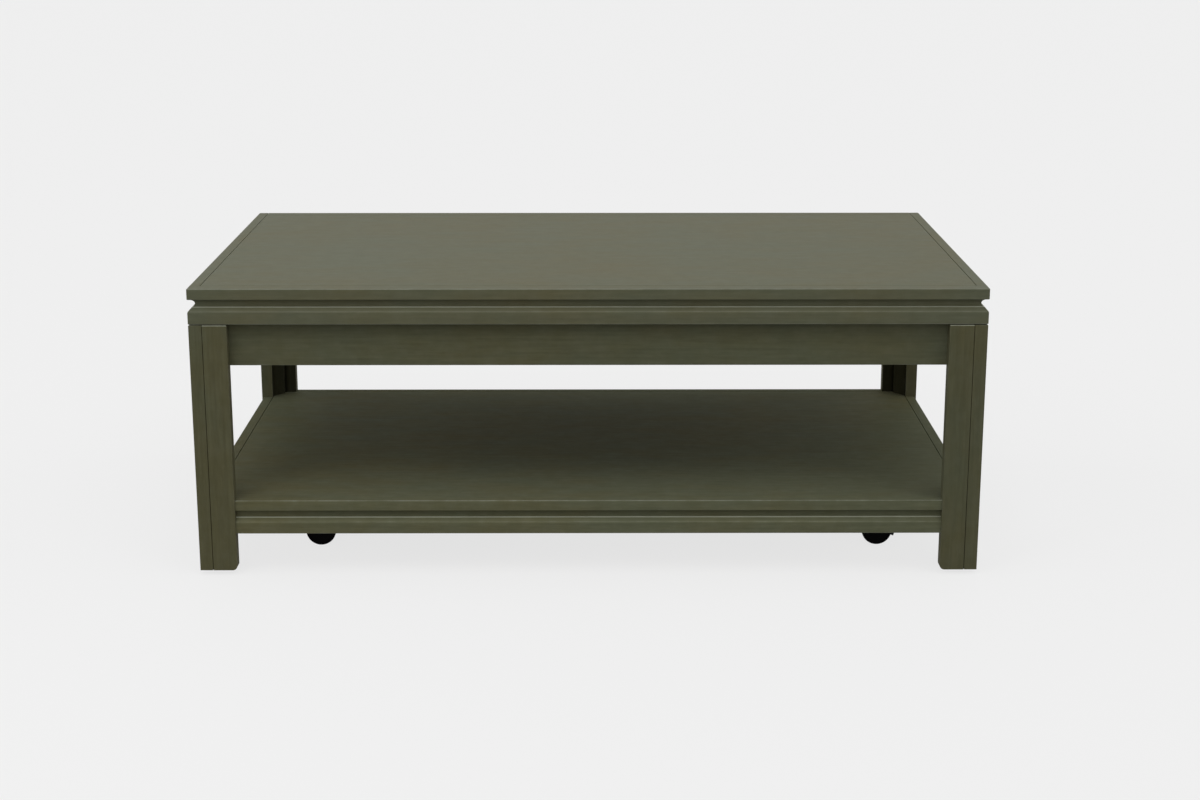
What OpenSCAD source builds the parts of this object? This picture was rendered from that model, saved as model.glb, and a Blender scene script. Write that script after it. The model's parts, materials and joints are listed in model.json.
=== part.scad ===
// Painted coffee table with a moulded top, a lower shelf, four L-section legs
// and four twin-wheel casters hidden under the shelf.
// Millimetres. The origin is on the floor under the middle of the table,
// +X runs along the length, -Y is the front and +Z is up.

/* [Overall] */
// Length of the top, left to right
table_l = 1219; // [1000:1:1500]
// Width of the top, front to back
table_w = 711; // [600:1:900]
// Height of the top's surface above the floor
table_h = 457; // [420:1:520]
// Gap under the legs, because the casters carry the table
leg_gap = 7.6; // [4:0.1:12]

/* [Top] */
// Height of the moulded edge round the top
top_edge_h = 55; // [50:0.5:65]
// Thickness of the top's panel
top_panel_t = 25; // [20:0.5:28]
// Width of the front and back edge strips, seen from above
lip_w = 26; // [20:0.5:34]
// Width of the left and right edge strips, seen from above
side_strip_w = 16.4; // [14:0.1:24]
// Width of the battens under the top's panel
top_batten_w = 60; // [45:1:80]
// Distance from the table's middle to each cross batten
cross_batten_x = 200; // [120:1:300]

/* [Edge moulding] */
// Height of the flat band above the cove
band_h = 16.3; // [12:0.1:19]
// Depth of the cove
cove_d = 10.4; // [9:0.1:12]
// Height of the cove's overhang
cove_h = 7.6; // [5:0.1:9]
// Slope at which the cove leaves the overhang, in degrees
cove_lip_a = 15; // [10:1:20]
// Radius in the bottom of the cove
hollow_r = 3; // [2:0.1:3.5]
// Height of the steeper, upper part of the bevel
bevel_h = 5.2; // [3:0.1:5.8]
// Slope of the bevel's upper part, in degrees
bevel_upper_a = 52; // [48:0.5:60]
// Slope of the bevel's lower part, in degrees
bevel_lower_a = 44.5; // [38:0.5:47]
// Radius where the bevel turns into the lower band
bevel_r = 4.3; // [2:0.1:5]
// Radius of the edge's top arris
arris_r = 1.2; // [0.6:0.1:2]
// Radius of the upper band's lower arris
band_r = 0.8; // [0.4:0.1:1.2]
// Chamfer on each side of an open joint
joint_v = 1; // [0.5:0.1:1.5]

/* [Aprons] */
// Height of the aprons
apron_h = 68.6; // [60:0.1:90]
// Thickness of the aprons
apron_t = 18; // [15:0.5:20]
// Length of a corner brace along each apron
brace_l = 75; // [60:1:100]
// Thickness of a corner brace
brace_t = 22; // [16:0.5:28]
// Height of a corner brace
brace_h = 50; // [40:1:58]

/* [Legs] */
// Width of a leg along the table's length
leg_w = 58; // [52:0.5:70]
// Depth of a leg along the table's width
leg_d = 60.5; // [58:0.5:75]
// Thickness of the leg boards
leg_board_t = 20; // [19:0.5:22]
// Setback of the legs from the top's outer faces
leg_inset = 0.3; // [0:0.1:6]
// Reach of a corner block inwards from the side board
block_w = 18; // [12:0.5:20]
// Flat side of a corner block before its chamfer
block_flat = 12; // [8:0.5:14]
// Gap between a corner block's foot and the leg's foot
block_lift = 6; // [2:0.5:12]
// Radius of the inner bottom corner of each leg board
foot_r = 7; // [3:0.5:12]

/* [Shelf] */
// Height of the shelf's underside above the legs' feet
shelf_lift = 59.3; // [56:0.1:70]
// Height of the moulded edge round the shelf
shelf_edge_h = 54; // [50:0.5:60]
// Thickness of the shelf's panel
shelf_panel_t = 25; // [20:0.5:28]
// Setback of the shelf's edge from the legs' outer faces
shelf_inset = 3.2; // [0.5:0.1:4]
// Width of the long battens under the shelf
shelf_batten_w = 40; // [34:0.5:60]
// Width of the rails that carry the casters
caster_rail_w = 120; // [90:1:150]

/* [Screws] */
// Diameter of the wood screws
screw_d = 4; // [3.5:0.1:4.5]
// Length of the wood screws under the head
screw_l = 33; // [30:0.5:35]
// Diameter of the wood screws' heads
screw_head_d = 8; // [7:0.1:9]
// Height of the wood screws' heads
screw_head_h = 2.4; // [2:0.1:3]
// Wood left under a sunk screw head
screw_seat = 18; // [16:0.5:20]
// Spacing of the two screws at each end of an apron
apron_screw_pitch = 36; // [24:1:44]
// Distance from the middle to the inner screws of the long battens
batten_screw_in = 110; // [60:1:160]
// Distance from the ends of the top to the outer screws of the long battens
batten_screw_end = 129.5; // [120:0.5:300]
// Distance from the front and back of the top to the screws of the short battens and rails
rail_screw_end = 115.5; // [106:0.5:130]

/* [Casters] */
// Distance from the ends of the top to the casters' swivel axes
caster_end = 154.5; // [130:0.5:189]
// Distance from the front and back of the top to the casters' swivel axes
caster_side = 171; // [166:0.5:205]
// Diameter of the wheels
wheel_d = 48.5; // [46:0.5:50]
// Width of one wheel
wheel_w = 16.2; // [14:0.1:19]
// Depth of the ring groove in a wheel's outer face
face_dish = 0.8; // [0.4:0.1:1.5]
// Width of a wheel's rim
rim_w = 3.8; // [3:0.1:6]
// Thickness of a wheel's disc
disc_t = 3; // [2.5:0.1:5]
// Diameter of a wheel's hub
hub_d = 12; // [10:0.5:16]
// Radius of the tread's shoulders
tread_r = 1.8; // [0.5:0.1:3]
// Distance from the swivel axis to the axle
trail = 16.5; // [14:0.5:18]
// Diameter of the axle
axle_d = 5; // [4:0.1:6]
// Diameter of the kingpin
kingpin_d = 7; // [6:0.1:7.5]
// Length of the kingpin under the plate
kingpin_l = 28; // [22:0.5:29]
// Thickness of the housing's web between the wheels
web_t = 14; // [13.5:0.1:17]
// Diameter of the swivel boss, which runs down into the web
boss_d = 12.6; // [12:0.1:13]
// Thickness of the hood
hood_t = 2.6; // [2:0.1:3]
// Angle by which the hood's ends reach below the axle, in degrees
hood_drop_a = 6; // [3:0.5:10]
// Diameter of the housing's boss round the axle
axle_boss_d = 18; // [14:0.5:22]
// Side of the square caster plate
plate_l = 42; // [38:0.5:50]
// Thickness of the caster plate
plate_t = 2.5; // [2:0.1:3.5]
// Corner radius of the caster plate
plate_r = 5; // [3:0.5:6]
// Spacing of the screws in a caster plate
plate_pitch = 31; // [28:0.5:32]
// Diameter of the race pressed down from the plate
race_d = 20; // [17:0.5:21]
// Height of the race
race_h = 3; // [2:0.1:3.5]
// Diameter of the caster screws
caster_screw_d = 4; // [3.5:0.1:4.5]
// Length of the caster screws under the head
caster_screw_l = 16; // [12:0.5:20]

/* [Brake] */
// Width of the brake lever
lever_w = 34; // [26:0.5:36]
// Angle of the lever's tip below the axle, in degrees
lever_tip_a = 22; // [10:1:26]
// Angle of the lever's pivot above the axle, in degrees
lever_pivot_a = 30; // [24:1:36]
// Diameter of the lever's barrel
barrel_d = 5.6; // [5:0.1:6]
// Diameter of the trunnions at the barrel's ends
trunnion_d = 3.2; // [2.5:0.1:3.6]
// Thickness of the ears that hold the trunnions
ear_t = 3.6; // [3:0.1:4.5]
// Angle from the lever's pivot to the end of a braked caster's hood, in degrees
hood_end_a = 10; // [8:0.5:14]

/* [Clearances] */
// Radial running clearance of pins in their bores
run_gap = 0.05; // [0.02:0.01:0.1]
// Radial clearance of a screw in its pilot hole
pilot_gap = 0.05; // [0.02:0.01:0.1]
// Radial clearance of a screw in a hole that it passes through
pass_gap = 0.3; // [0.2:0.05:0.5]
// Side clearance between a wheel and the web
side_gap = 0.8; // [0.5:0.1:1.5]
// Clearance between the tread and the hood
hood_gap = 1; // [0.6:0.1:1.5]
// Running clearance between the swivel boss and the race
swivel_gap = 0.3; // [0.2:0.05:0.6]
// Clearance between the brake lever and the hood's ears
lever_gap = 0.3; // [0.2:0.05:0.6]
// Depth of a blind hole past the tip of what it holds
blind_gap = 1; // [0.5:0.1:2]

/* [Hidden] */

paint = [0.30, 0.30, 0.235];
bare_wood = [0.72, 0.60, 0.42];
zinc = [0.72, 0.73, 0.74];
steel = [0.60, 0.61, 0.62];
nylon = [0.05, 0.05, 0.055];
grey_nylon = [0.16, 0.16, 0.17];

LEFT = -1;
RIGHT = 1;
FRONT = -1;
BACK = 1;

// Margin by which a cutting shape runs past what it cuts
over = 1;

// Levels, from the floor up
shelf_z = leg_gap + shelf_lift;
shelf_top_z = shelf_z + shelf_edge_h;
top_z = table_h - top_edge_h;
apron_z = top_z - apron_h;
axle_z = wheel_d / 2;
shelf_batten_h = shelf_edge_h - shelf_panel_t;
top_batten_h = top_edge_h - top_panel_t;

// Outer faces of the legs, and the inner faces of their boards
leg_x = table_l / 2 - leg_inset;
leg_y = table_w / 2 - leg_inset;
board_x = leg_x - leg_board_t;
board_y = leg_y - leg_board_t;
// Inner ends of the face boards and of the side boards
face_end_x = leg_x - leg_w;
side_end_y = leg_y - leg_d;
// Swivel axes of the casters
caster_x = table_l / 2 - caster_end;
caster_y = table_w / 2 - caster_side;
block_d = block_flat + block_w;

// Casters
hood_in = axle_z + hood_gap;
hood_out = hood_in + hood_t;
wheel_y = web_t / 2 + side_gap;
axle_reach = wheel_y + wheel_w - disc_t - blind_gap;
pivot_r = hood_in + barrel_d / 2;
pivot_x = trail + pivot_r * cos(lever_pivot_a);
pivot_z = axle_z + pivot_r * sin(lever_pivot_a);
boss_top_z = shelf_z - plate_t - race_h - swivel_gap;
kingpin_end_z = shelf_z - plate_t - kingpin_l;

// Points of an arc of an ellipse
function arc(c, r, a0, a1, n) =
    [for (i = [0:n]) let (a = a0 + (a1 - a0) * i / n) [c[0] + r[0] * cos(a), c[1] + r[1] * sin(a)]];

// Right-hand outline of a moulded edge of height h, from the top to the foot.
// The outer face is at x = 0 and the wood lies on the negative side.
function moulding(h) =
    let (cove_z = h - band_h - cove_h)
    let (hollow_a = 270 - bevel_upper_a)
    let (ux = -cove_d + hollow_r * (1 - sin(bevel_upper_a)))
    let (uz = cove_z - hollow_r * cos(bevel_upper_a))
    let (mx = ux + bevel_h / tan(bevel_upper_a))
    let (mz = uz - bevel_h)
    let (foot_z = mz + mx * tan(bevel_lower_a))
    let (bite = bevel_r * tan((90 - bevel_lower_a) / 2))
    concat(
        arc([-arris_r, h - arris_r], [arris_r, arris_r], 90, 0, 3),
        arc([-band_r, h - band_h + band_r], [band_r, band_r], 0, -90, 2),
        arc([0, cove_z], [cove_d, cove_h], 90 + cove_lip_a, 180 - cove_lip_a, 4),
        arc([hollow_r - cove_d, cove_z], [hollow_r, hollow_r], 180, hollow_a, 3),
        [[mx, mz]],
        arc([-bevel_r, foot_z - bite], [bevel_r, bevel_r], 90 - bevel_lower_a, 0, 4),
        [[0, 0]]
    );

// Cross-section of a slab of width w and height h, moulded on both sides
function slab_outline(w, h) =
    let (half = moulding(h))
    let (n = len(half) - 1)
    concat(
        [for (p = half) [w / 2 + p[0], p[1]]],
        [for (i = [n:-1:0]) [-w / 2 - half[i][0], half[i][1]]]
    );

// Extrudes a YZ outline along X, or an XZ outline along Y, both centred
module along_x(l) {
    rotate([90, 0, 90]) linear_extrude(l, center = true) children();
}

module along_y(l) {
    rotate([90, 0, 0]) linear_extrude(l, center = true) children();
}

// Slab moulded all round, with its foot at z = 0
module moulded_slab(l, w, h) {
    intersection() {
        along_x(l + over) polygon(slab_outline(w, h));
        along_y(w + over) polygon(slab_outline(l, h));
    }
}

// Box between two corners
module block(a, b) {
    translate(a) cube(b - a);
}

// Sawn strip with its two top arrises chamfered, from x = -w/2 to w/2
module grooved_strip(w, l, h) {
    along_y(l) polygon([
        [-w / 2, 0], [w / 2, 0], [w / 2, h - joint_v], [w / 2 - joint_v, h],
        [joint_v - w / 2, h], [-w / 2, h - joint_v]
    ]);
}

// Screws. Each place is [seat of the head, rotation]; the screw points along +Z before it is turned.
apron_screw_x = (face_end_x + board_x - block_w) / 2;
apron_screw_y = (side_end_y + board_y - block_d) / 2;
apron_mid_z = apron_z + apron_h / 2;
apron_screws_z = [apron_mid_z - apron_screw_pitch / 2, apron_mid_z + apron_screw_pitch / 2];
batten_screw_out = table_l / 2 - batten_screw_end;
batten_screws_x = [-batten_screw_out, -batten_screw_in, batten_screw_in, batten_screw_out];
rail_screw_y = table_w / 2 - rail_screw_end;
top_seat_z = table_h - top_panel_t - screw_seat;
shelf_seat_z = shelf_top_z - shelf_panel_t - screw_seat;
top_batten_y = table_w / 2 - lip_w - top_batten_w / 2;
top_batten_x = table_l / 2 - side_strip_w - top_batten_w / 2;
short_battens_x = [-top_batten_x, -cross_batten_x, cross_batten_x, top_batten_x];
shelf_batten_y = board_y - shelf_batten_w / 2;

function face_screws(sx, sy) = [
    for (z = apron_screws_z)
        [[sx * apron_screw_x, sy * (board_y - apron_t), z], [-90 * sy, 0, 0]]
];
function side_screws(sx, sy) = [
    for (z = apron_screws_z)
        [[sx * (board_x - apron_t), sy * apron_screw_y, z], [0, 90 * sx, 0]]
];
function shelf_leg_screws(sx, sy) = [
    [[sx * apron_screw_x, sy * (board_y - screw_seat), shelf_z + shelf_batten_h / 2], [-90 * sy, 0, 0]]
];
function top_long_screws(sy) = [
    for (x = batten_screws_x)
        [[x, sy * top_batten_y, top_seat_z], [0, 0, 0]]
];
function top_short_screws(x) = [
    for (s = [-1, 1])
        [[x, s * rail_screw_y, top_seat_z], [0, 0, 0]]
];
function shelf_long_screws(sy) = [
    for (x = batten_screws_x)
        [[x, sy * shelf_batten_y, shelf_seat_z], [0, 0, 0]]
];
function rail_screws(sx) = [
    for (s = [-1, 1])
        [[sx * caster_x, s * rail_screw_y, shelf_seat_z], [0, 0, 0]]
];
// Corners of the square on which the four screws of a caster plate stand
plate_corners = [
    for (ix = [-1, 1], iy = [-1, 1])
        [ix * plate_pitch / 2, iy * plate_pitch / 2, shelf_z - plate_t]
];
function caster_screw_places(sx, sy) = [
    for (p = plate_corners)
        [sx * caster_x, sy * caster_y, 0] + p
];

// Round-headed screw, with the underside of its head at z = 0
module screw(d, l, head_d, head_h) {
    rotate_extrude($fn = 24) polygon(concat(
        arc([0, 0], [head_d / 2, head_h], -90, 0, 4),
        [[d / 2, 0], [d / 2, l - d], [0, l]]
    ));
}

// Room for wood screws: counterbore, clearance hole through the fixed piece, pilot hole past it
module wood_screw_cuts(places, through) {
    for (p = places)
        translate(p[0]) rotate(p[1]) {
            translate([0, 0, -screw_l]) cylinder(h = screw_l, d = screw_head_d + 2 * pass_gap, $fn = 24);
            translate([0, 0, -over]) cylinder(h = through + over, d = screw_d + 2 * pass_gap, $fn = 24);
            cylinder(h = screw_l + blind_gap, d = screw_d + 2 * pilot_gap, $fn = 24);
        }
}

module wood_screws(places) {
    color(zinc)
        for (p = places)
            translate(p[0]) rotate(p[1]) screw(screw_d, screw_l, screw_head_d, screw_head_h);
}

module apron_screws() {
    wood_screws([
        for (sx = [LEFT, RIGHT], sy = [FRONT, BACK])
            each concat(face_screws(sx, sy), side_screws(sx, sy))
    ]);
}

module top_screws() {
    wood_screws(concat(
        [for (sy = [FRONT, BACK]) each top_long_screws(sy)],
        [for (x = short_battens_x) each top_short_screws(x)]
    ));
}

module shelf_screws() {
    wood_screws(concat(
        [for (sy = [FRONT, BACK]) each shelf_long_screws(sy)],
        [for (sx = [LEFT, RIGHT]) each rail_screws(sx)],
        [for (sx = [LEFT, RIGHT], sy = [FRONT, BACK]) each shelf_leg_screws(sx, sy)]
    ));
}

module caster_screws() {
    color(zinc)
        for (sx = [LEFT, RIGHT], sy = [FRONT, BACK], p = caster_screw_places(sx, sy))
            translate(p) screw(caster_screw_d, caster_screw_l, screw_head_d, screw_head_h);
}

// Top
module top_panel() {
    color(paint) difference() {
        translate([0, 0, table_h - top_panel_t])
            grooved_strip(table_l - 2 * side_strip_w, table_w - 2 * lip_w, top_panel_t);
        for (sy = [FRONT, BACK])
            wood_screw_cuts(top_long_screws(sy), screw_seat);
        for (x = short_battens_x)
            wood_screw_cuts(top_short_screws(x), screw_seat);
    }
}

module top_edge_front() {
    color(paint) translate([0, 0, top_z]) intersection() {
        moulded_slab(table_l, table_w, top_edge_h);
        block([-table_l, -table_w, -over], [table_l, lip_w - table_w / 2, top_edge_h + over]);
    }
}

module top_edge_back() {
    color(paint) translate([0, 0, top_z]) intersection() {
        moulded_slab(table_l, table_w, top_edge_h);
        translate([0, table_w - lip_w, 0])
            grooved_strip(table_l - 2 * side_strip_w, table_w, top_edge_h);
    }
}

module top_edge_side(sx) {
    strip = table_l / 2;
    color(paint) translate([0, 0, top_z]) intersection() {
        moulded_slab(table_l, table_w, top_edge_h);
        translate([sx * (table_l / 2 - side_strip_w + strip / 2), (lip_w + over) / 2, 0])
            grooved_strip(strip, table_w - lip_w + over, top_edge_h);
    }
}

module top_batten_long(sy) {
    color(bare_wood) difference() {
        block([side_strip_w - table_l / 2, sy * top_batten_y - top_batten_w / 2, top_z],
            [table_l / 2 - side_strip_w, sy * top_batten_y + top_batten_w / 2, top_z + top_batten_h]);
        wood_screw_cuts(top_long_screws(sy), screw_seat);
    }
}

// The four alike battens across the top, between the long ones
module top_short_battens() {
    reach = top_batten_y - top_batten_w / 2;
    color(bare_wood)
        for (x = short_battens_x)
            difference() {
                block([x - top_batten_w / 2, -reach, top_z],
                    [x + top_batten_w / 2, reach, top_z + top_batten_h]);
                wood_screw_cuts(top_short_screws(x), screw_seat);
            }
}

// Aprons
module apron_long(sy) {
    reach = board_x - block_w;
    color(paint) difference() {
        translate([0, sy * (board_y - apron_t / 2), apron_mid_z])
            cube([2 * reach, apron_t, apron_h], center = true);
        for (sx = [LEFT, RIGHT])
            wood_screw_cuts(face_screws(sx, sy), apron_t);
    }
}

module apron_side(sx) {
    reach = board_y - apron_t;
    color(paint) difference() {
        translate([sx * (board_x - apron_t / 2), 0, apron_mid_z])
            cube([apron_t, 2 * reach, apron_h], center = true);
        for (sy = [FRONT, BACK]) {
            corner_block_shape(sx, sy, apron_z - over, top_z + over);
            wood_screw_cuts(side_screws(sx, sy), apron_t);
        }
    }
}

module corner_braces() {
    x = board_x - apron_t;
    y = board_y - apron_t;
    foot = brace_t * sqrt(2);
    color(bare_wood)
        for (sx = [LEFT, RIGHT], sy = [FRONT, BACK])
            translate([0, 0, top_z - brace_h])
                linear_extrude(brace_h)
                    polygon([
                        [sx * (x - brace_l), sy * y], [sx * (x - brace_l + foot), sy * y],
                        [sx * x, sy * (y - brace_l + foot)], [sx * x, sy * (y - brace_l)]
                    ]);
}

// Legs. Outline of a leg board seen square to its wide face: its free lower corner is rounded
// and its top and bottom arrises are eased. The board's joint side is at x = 0.
module board_outline(w, h) {
    difference() {
        polygon([
            [0, joint_v], [joint_v, 0], [w, 0], [w, h - joint_v], [w - joint_v, h],
            [joint_v, h], [0, h - joint_v]
        ]);
        difference() {
            translate([w - foot_r, -over]) square([foot_r + over, foot_r + over]);
            translate([w - foot_r, foot_r]) circle(r = foot_r, $fn = 32);
        }
    }
}

// Plan of a leg board with its four upright arrises eased
module board_plan(a, b) {
    v = joint_v;
    polygon([
        [a[0] + v, a[1]], [b[0] - v, a[1]], [b[0], a[1] + v], [b[0], b[1] - v],
        [b[0] - v, b[1]], [a[0] + v, b[1]], [a[0], b[1] - v], [a[0], a[1] + v]
    ]);
}

// Mirrors a piece made for the front left corner to another corner
module mirrored_corner(sx, sy) {
    mirror([sx == RIGHT ? 1 : 0, 0, 0]) mirror([0, sy == BACK ? 1 : 0, 0]) children();
}

module leg_face_board(sx, sy) {
    h = top_z - leg_gap;
    color(paint) difference() {
        mirrored_corner(sx, sy) intersection() {
            translate([0, 0, leg_gap]) linear_extrude(h)
                board_plan([-board_x, -leg_y], [-face_end_x, -board_y]);
            translate([-board_x, 0, leg_gap]) along_y(2 * table_w) board_outline(board_x - face_end_x, h);
        }
        wood_screw_cuts(face_screws(sx, sy), apron_t);
        wood_screw_cuts(shelf_leg_screws(sx, sy), screw_seat);
    }
}

module leg_side_board(sx, sy) {
    h = top_z - leg_gap;
    color(paint) difference() {
        mirrored_corner(sx, sy) intersection() {
            translate([0, 0, leg_gap]) linear_extrude(h)
                board_plan([-leg_x, -leg_y], [-board_x, -side_end_y]);
            translate([0, -leg_y, leg_gap]) along_x(2 * table_l) board_outline(leg_d, h);
        }
        wood_screw_cuts(side_screws(sx, sy), apron_t);
    }
}

// Chamfered corner block between two heights
module corner_block_shape(sx, sy, z0, z1) {
    translate([0, 0, z0]) linear_extrude(z1 - z0) polygon([
        [sx * board_x, sy * board_y], [sx * (board_x - block_w), sy * board_y],
        [sx * (board_x - block_w), sy * (board_y - block_flat)], [sx * board_x, sy * (board_y - block_d)]
    ]);
}

module leg_corner_block(sx, sy) {
    color(paint) corner_block_shape(sx, sy, leg_gap + block_lift, top_z);
}

// Shelf
module shelf_panel() {
    color(paint) difference() {
        translate([0, 0, shelf_top_z - shelf_panel_t])
            grooved_strip(2 * board_x, 2 * board_y, shelf_panel_t);
        for (sx = [LEFT, RIGHT], sy = [FRONT, BACK])
            corner_block_shape(sx, sy, shelf_z, shelf_top_z + over);
        for (s = [-1, 1]) {
            wood_screw_cuts(shelf_long_screws(s), screw_seat);
            wood_screw_cuts(rail_screws(s), screw_seat);
        }
    }
}

module shelf_edge_long(sy) {
    out = leg_y - shelf_inset;
    color(paint) translate([0, 0, shelf_z]) intersection() {
        along_x(2 * face_end_x) polygon(slab_outline(2 * out, shelf_edge_h));
        translate([0, sy * (board_y + table_w / 2), shelf_edge_h / 2])
            cube([table_l, table_w, 2 * shelf_edge_h], center = true);
    }
}

module shelf_edge_side(sx) {
    out = leg_x - shelf_inset;
    strip = table_l / 2;
    color(paint) translate([0, 0, shelf_z]) intersection() {
        along_y(2 * side_end_y) polygon(slab_outline(2 * out, shelf_edge_h));
        translate([sx * (board_x + strip / 2), 0, 0]) grooved_strip(strip, table_w, shelf_edge_h);
    }
}

module shelf_batten(sy) {
    reach = board_x - block_w;
    color(bare_wood) difference() {
        translate([0, sy * shelf_batten_y, shelf_z + shelf_batten_h / 2])
            cube([2 * reach, shelf_batten_w, shelf_batten_h], center = true);
        wood_screw_cuts(shelf_long_screws(sy), screw_seat);
        for (sx = [LEFT, RIGHT])
            wood_screw_cuts(shelf_leg_screws(sx, sy), screw_seat);
    }
}

module caster_rail(sx) {
    reach = board_y - shelf_batten_w;
    color(bare_wood) difference() {
        translate([sx * caster_x, 0, shelf_z + shelf_batten_h / 2])
            cube([caster_rail_w, 2 * reach, shelf_batten_h], center = true);
        wood_screw_cuts(rail_screws(sx), screw_seat);
        for (sy = [FRONT, BACK], p = caster_screw_places(sx, sy))
            translate(p)
                cylinder(h = caster_screw_l + blind_gap, d = caster_screw_d + 2 * pilot_gap, $fn = 24);
    }
}

// Casters. They are drawn with the swivel axis at x = 0, y = 0 and trail along +X.
module at_caster(sx, sy) {
    translate([sx * caster_x, sy * caster_y, 0]) children();
}

module caster_plate(sx, sy) {
    inner = plate_l - 2 * plate_r;
    color(zinc) at_caster(sx, sy) difference() {
        union() {
            translate([0, 0, shelf_z - plate_t / 2]) {
                cube([plate_l, inner, plate_t], center = true);
                cube([inner, plate_l, plate_t], center = true);
                for (ix = [-1, 1], iy = [-1, 1])
                    translate([ix * inner / 2, iy * inner / 2, 0])
                        cylinder(h = plate_t, r = plate_r, center = true, $fn = 32);
            }
            translate([0, 0, shelf_z - plate_t - race_h])
                cylinder(h = race_h + plate_t / 2, d = race_d, $fn = 48);
            translate([0, 0, kingpin_end_z])
                cylinder(h = kingpin_l + plate_t / 2, d = kingpin_d, $fn = 32);
        }
        for (p = plate_corners)
            translate(p - [0, 0, over])
                cylinder(h = plate_t + 2 * over, d = caster_screw_d + 2 * pass_gap, $fn = 24);
    }
}

// Sector of a ring round the axle, in the XZ plane, from angle a0 to angle a1
module hood_sector(r0, r1, a0, a1) {
    far = 2 * r1;
    steps = 4;
    translate([trail, axle_z]) intersection() {
        difference() {
            circle(r = r1, $fn = 96);
            if (r0 > 0)
                circle(r = r0, $fn = 96);
        }
        polygon(concat([[0, 0]], arc([0, 0], [far, far], a0, a1, steps)));
    }
}

module caster_housing(sx, sy, braked) {
    hood_w = 2 * (wheel_y + wheel_w);
    start_a = braked ? lever_pivot_a + hood_end_a : -hood_drop_a;
    end_a = 180 + hood_drop_a;
    ear_y = lever_w / 2 + lever_gap;
    color(nylon) at_caster(sx, sy) difference() {
        union() {
            along_y(hood_w) hood_sector(hood_in, hood_out, start_a, end_a);
            along_y(web_t) {
                hood_sector(0, hood_out, start_a, end_a);
                translate([trail, axle_z]) circle(d = axle_boss_d, $fn = 48);
            }
            translate([0, 0, axle_z]) cylinder(h = boss_top_z - axle_z, d = boss_d, $fn = 48);
            if (braked)
                for (s = [-1, 1])
                    translate([0, s * (ear_y + ear_t / 2), 0]) along_y(ear_t) {
                        hood_sector(hood_in, hood_out, lever_pivot_a, start_a);
                        translate([pivot_x, pivot_z]) circle(d = barrel_d, $fn = 32);
                    }
        }
        translate([0, 0, kingpin_end_z - blind_gap])
            cylinder(h = table_h, d = kingpin_d + 2 * run_gap, $fn = 32);
        along_y(2 * hood_w) translate([trail, axle_z]) circle(d = axle_d + 2 * pilot_gap, $fn = 32);
        if (braked)
            along_y(2 * hood_w) translate([pivot_x, pivot_z]) circle(d = trunnion_d + 2 * run_gap, $fn = 32);
    }
}

module caster_axle(sx, sy) {
    color(steel) at_caster(sx, sy)
        translate([trail, 0, axle_z]) rotate([90, 0, 0])
            cylinder(h = 2 * axle_reach, d = axle_d, center = true, $fn = 32);
}

// Half a twin wheel: a cup with its open side towards the web and a blind hub
module caster_wheel(sx, sy, side) {
    r = wheel_d / 2;
    dish_r = r - rim_w;
    color(grey_nylon) at_caster(sx, sy)
        translate([trail, side * wheel_y, axle_z]) rotate([-90 * side, 0, 0])
            rotate_extrude($fn = 96) polygon(concat(
                [[axle_d / 2 + run_gap, 0], [hub_d / 2, 0], [hub_d / 2, wheel_w - disc_t]],
                [[dish_r, wheel_w - disc_t], [dish_r, 0]],
                arc([r - tread_r, tread_r], [tread_r, tread_r], -90, 0, 4),
                arc([r - tread_r, wheel_w - tread_r], [tread_r, tread_r], 0, 90, 4),
                [[dish_r + face_dish, wheel_w], [dish_r, wheel_w - face_dish]],
                [[hub_d / 2 + face_dish, wheel_w - face_dish], [hub_d / 2, wheel_w], [0, wheel_w]],
                [[0, wheel_w - disc_t], [axle_d / 2 + run_gap, wheel_w - disc_t]]
            ));
}

module brake_lever(sx, sy) {
    color(nylon) at_caster(sx, sy) {
        along_y(lever_w) {
            hood_sector(hood_in, hood_out, -lever_tip_a, lever_pivot_a);
            translate([pivot_x, pivot_z]) circle(d = barrel_d, $fn = 32);
        }
        along_y(lever_w + 2 * (lever_gap + ear_t))
            translate([pivot_x, pivot_z]) circle(d = trunnion_d, $fn = 32);
    }
}

top_panel();
top_edge_front();
top_edge_back();
top_edge_side(LEFT);  // top_edge_left
top_edge_side(RIGHT);  // top_edge_right
top_batten_long(FRONT);  // top_batten_front
top_batten_long(BACK);  // top_batten_back
top_short_battens();
apron_long(FRONT);  // apron_front
apron_long(BACK);  // apron_back
apron_side(LEFT);  // apron_left
apron_side(RIGHT);  // apron_right
corner_braces();
leg_face_board(LEFT, FRONT);  // leg_fl_face_board
leg_side_board(LEFT, FRONT);  // leg_fl_side_board
leg_corner_block(LEFT, FRONT);  // leg_fl_corner_block
leg_face_board(RIGHT, FRONT);  // leg_fr_face_board
leg_side_board(RIGHT, FRONT);  // leg_fr_side_board
leg_corner_block(RIGHT, FRONT);  // leg_fr_corner_block
leg_face_board(LEFT, BACK);  // leg_rl_face_board
leg_side_board(LEFT, BACK);  // leg_rl_side_board
leg_corner_block(LEFT, BACK);  // leg_rl_corner_block
leg_face_board(RIGHT, BACK);  // leg_rr_face_board
leg_side_board(RIGHT, BACK);  // leg_rr_side_board
leg_corner_block(RIGHT, BACK);  // leg_rr_corner_block
shelf_panel();
shelf_edge_long(FRONT);  // shelf_edge_front
shelf_edge_long(BACK);  // shelf_edge_back
shelf_edge_side(LEFT);  // shelf_edge_left
shelf_edge_side(RIGHT);  // shelf_edge_right
shelf_batten(FRONT);  // shelf_batten_front
shelf_batten(BACK);  // shelf_batten_back
caster_rail(LEFT);  // caster_rail_left
caster_rail(RIGHT);  // caster_rail_right
apron_screws();
top_screws();
shelf_screws();
caster_screws();
caster_plate(LEFT, FRONT);  // caster_fl_plate
caster_housing(LEFT, FRONT, false);  // caster_fl_housing
caster_axle(LEFT, FRONT);  // caster_fl_axle
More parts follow.
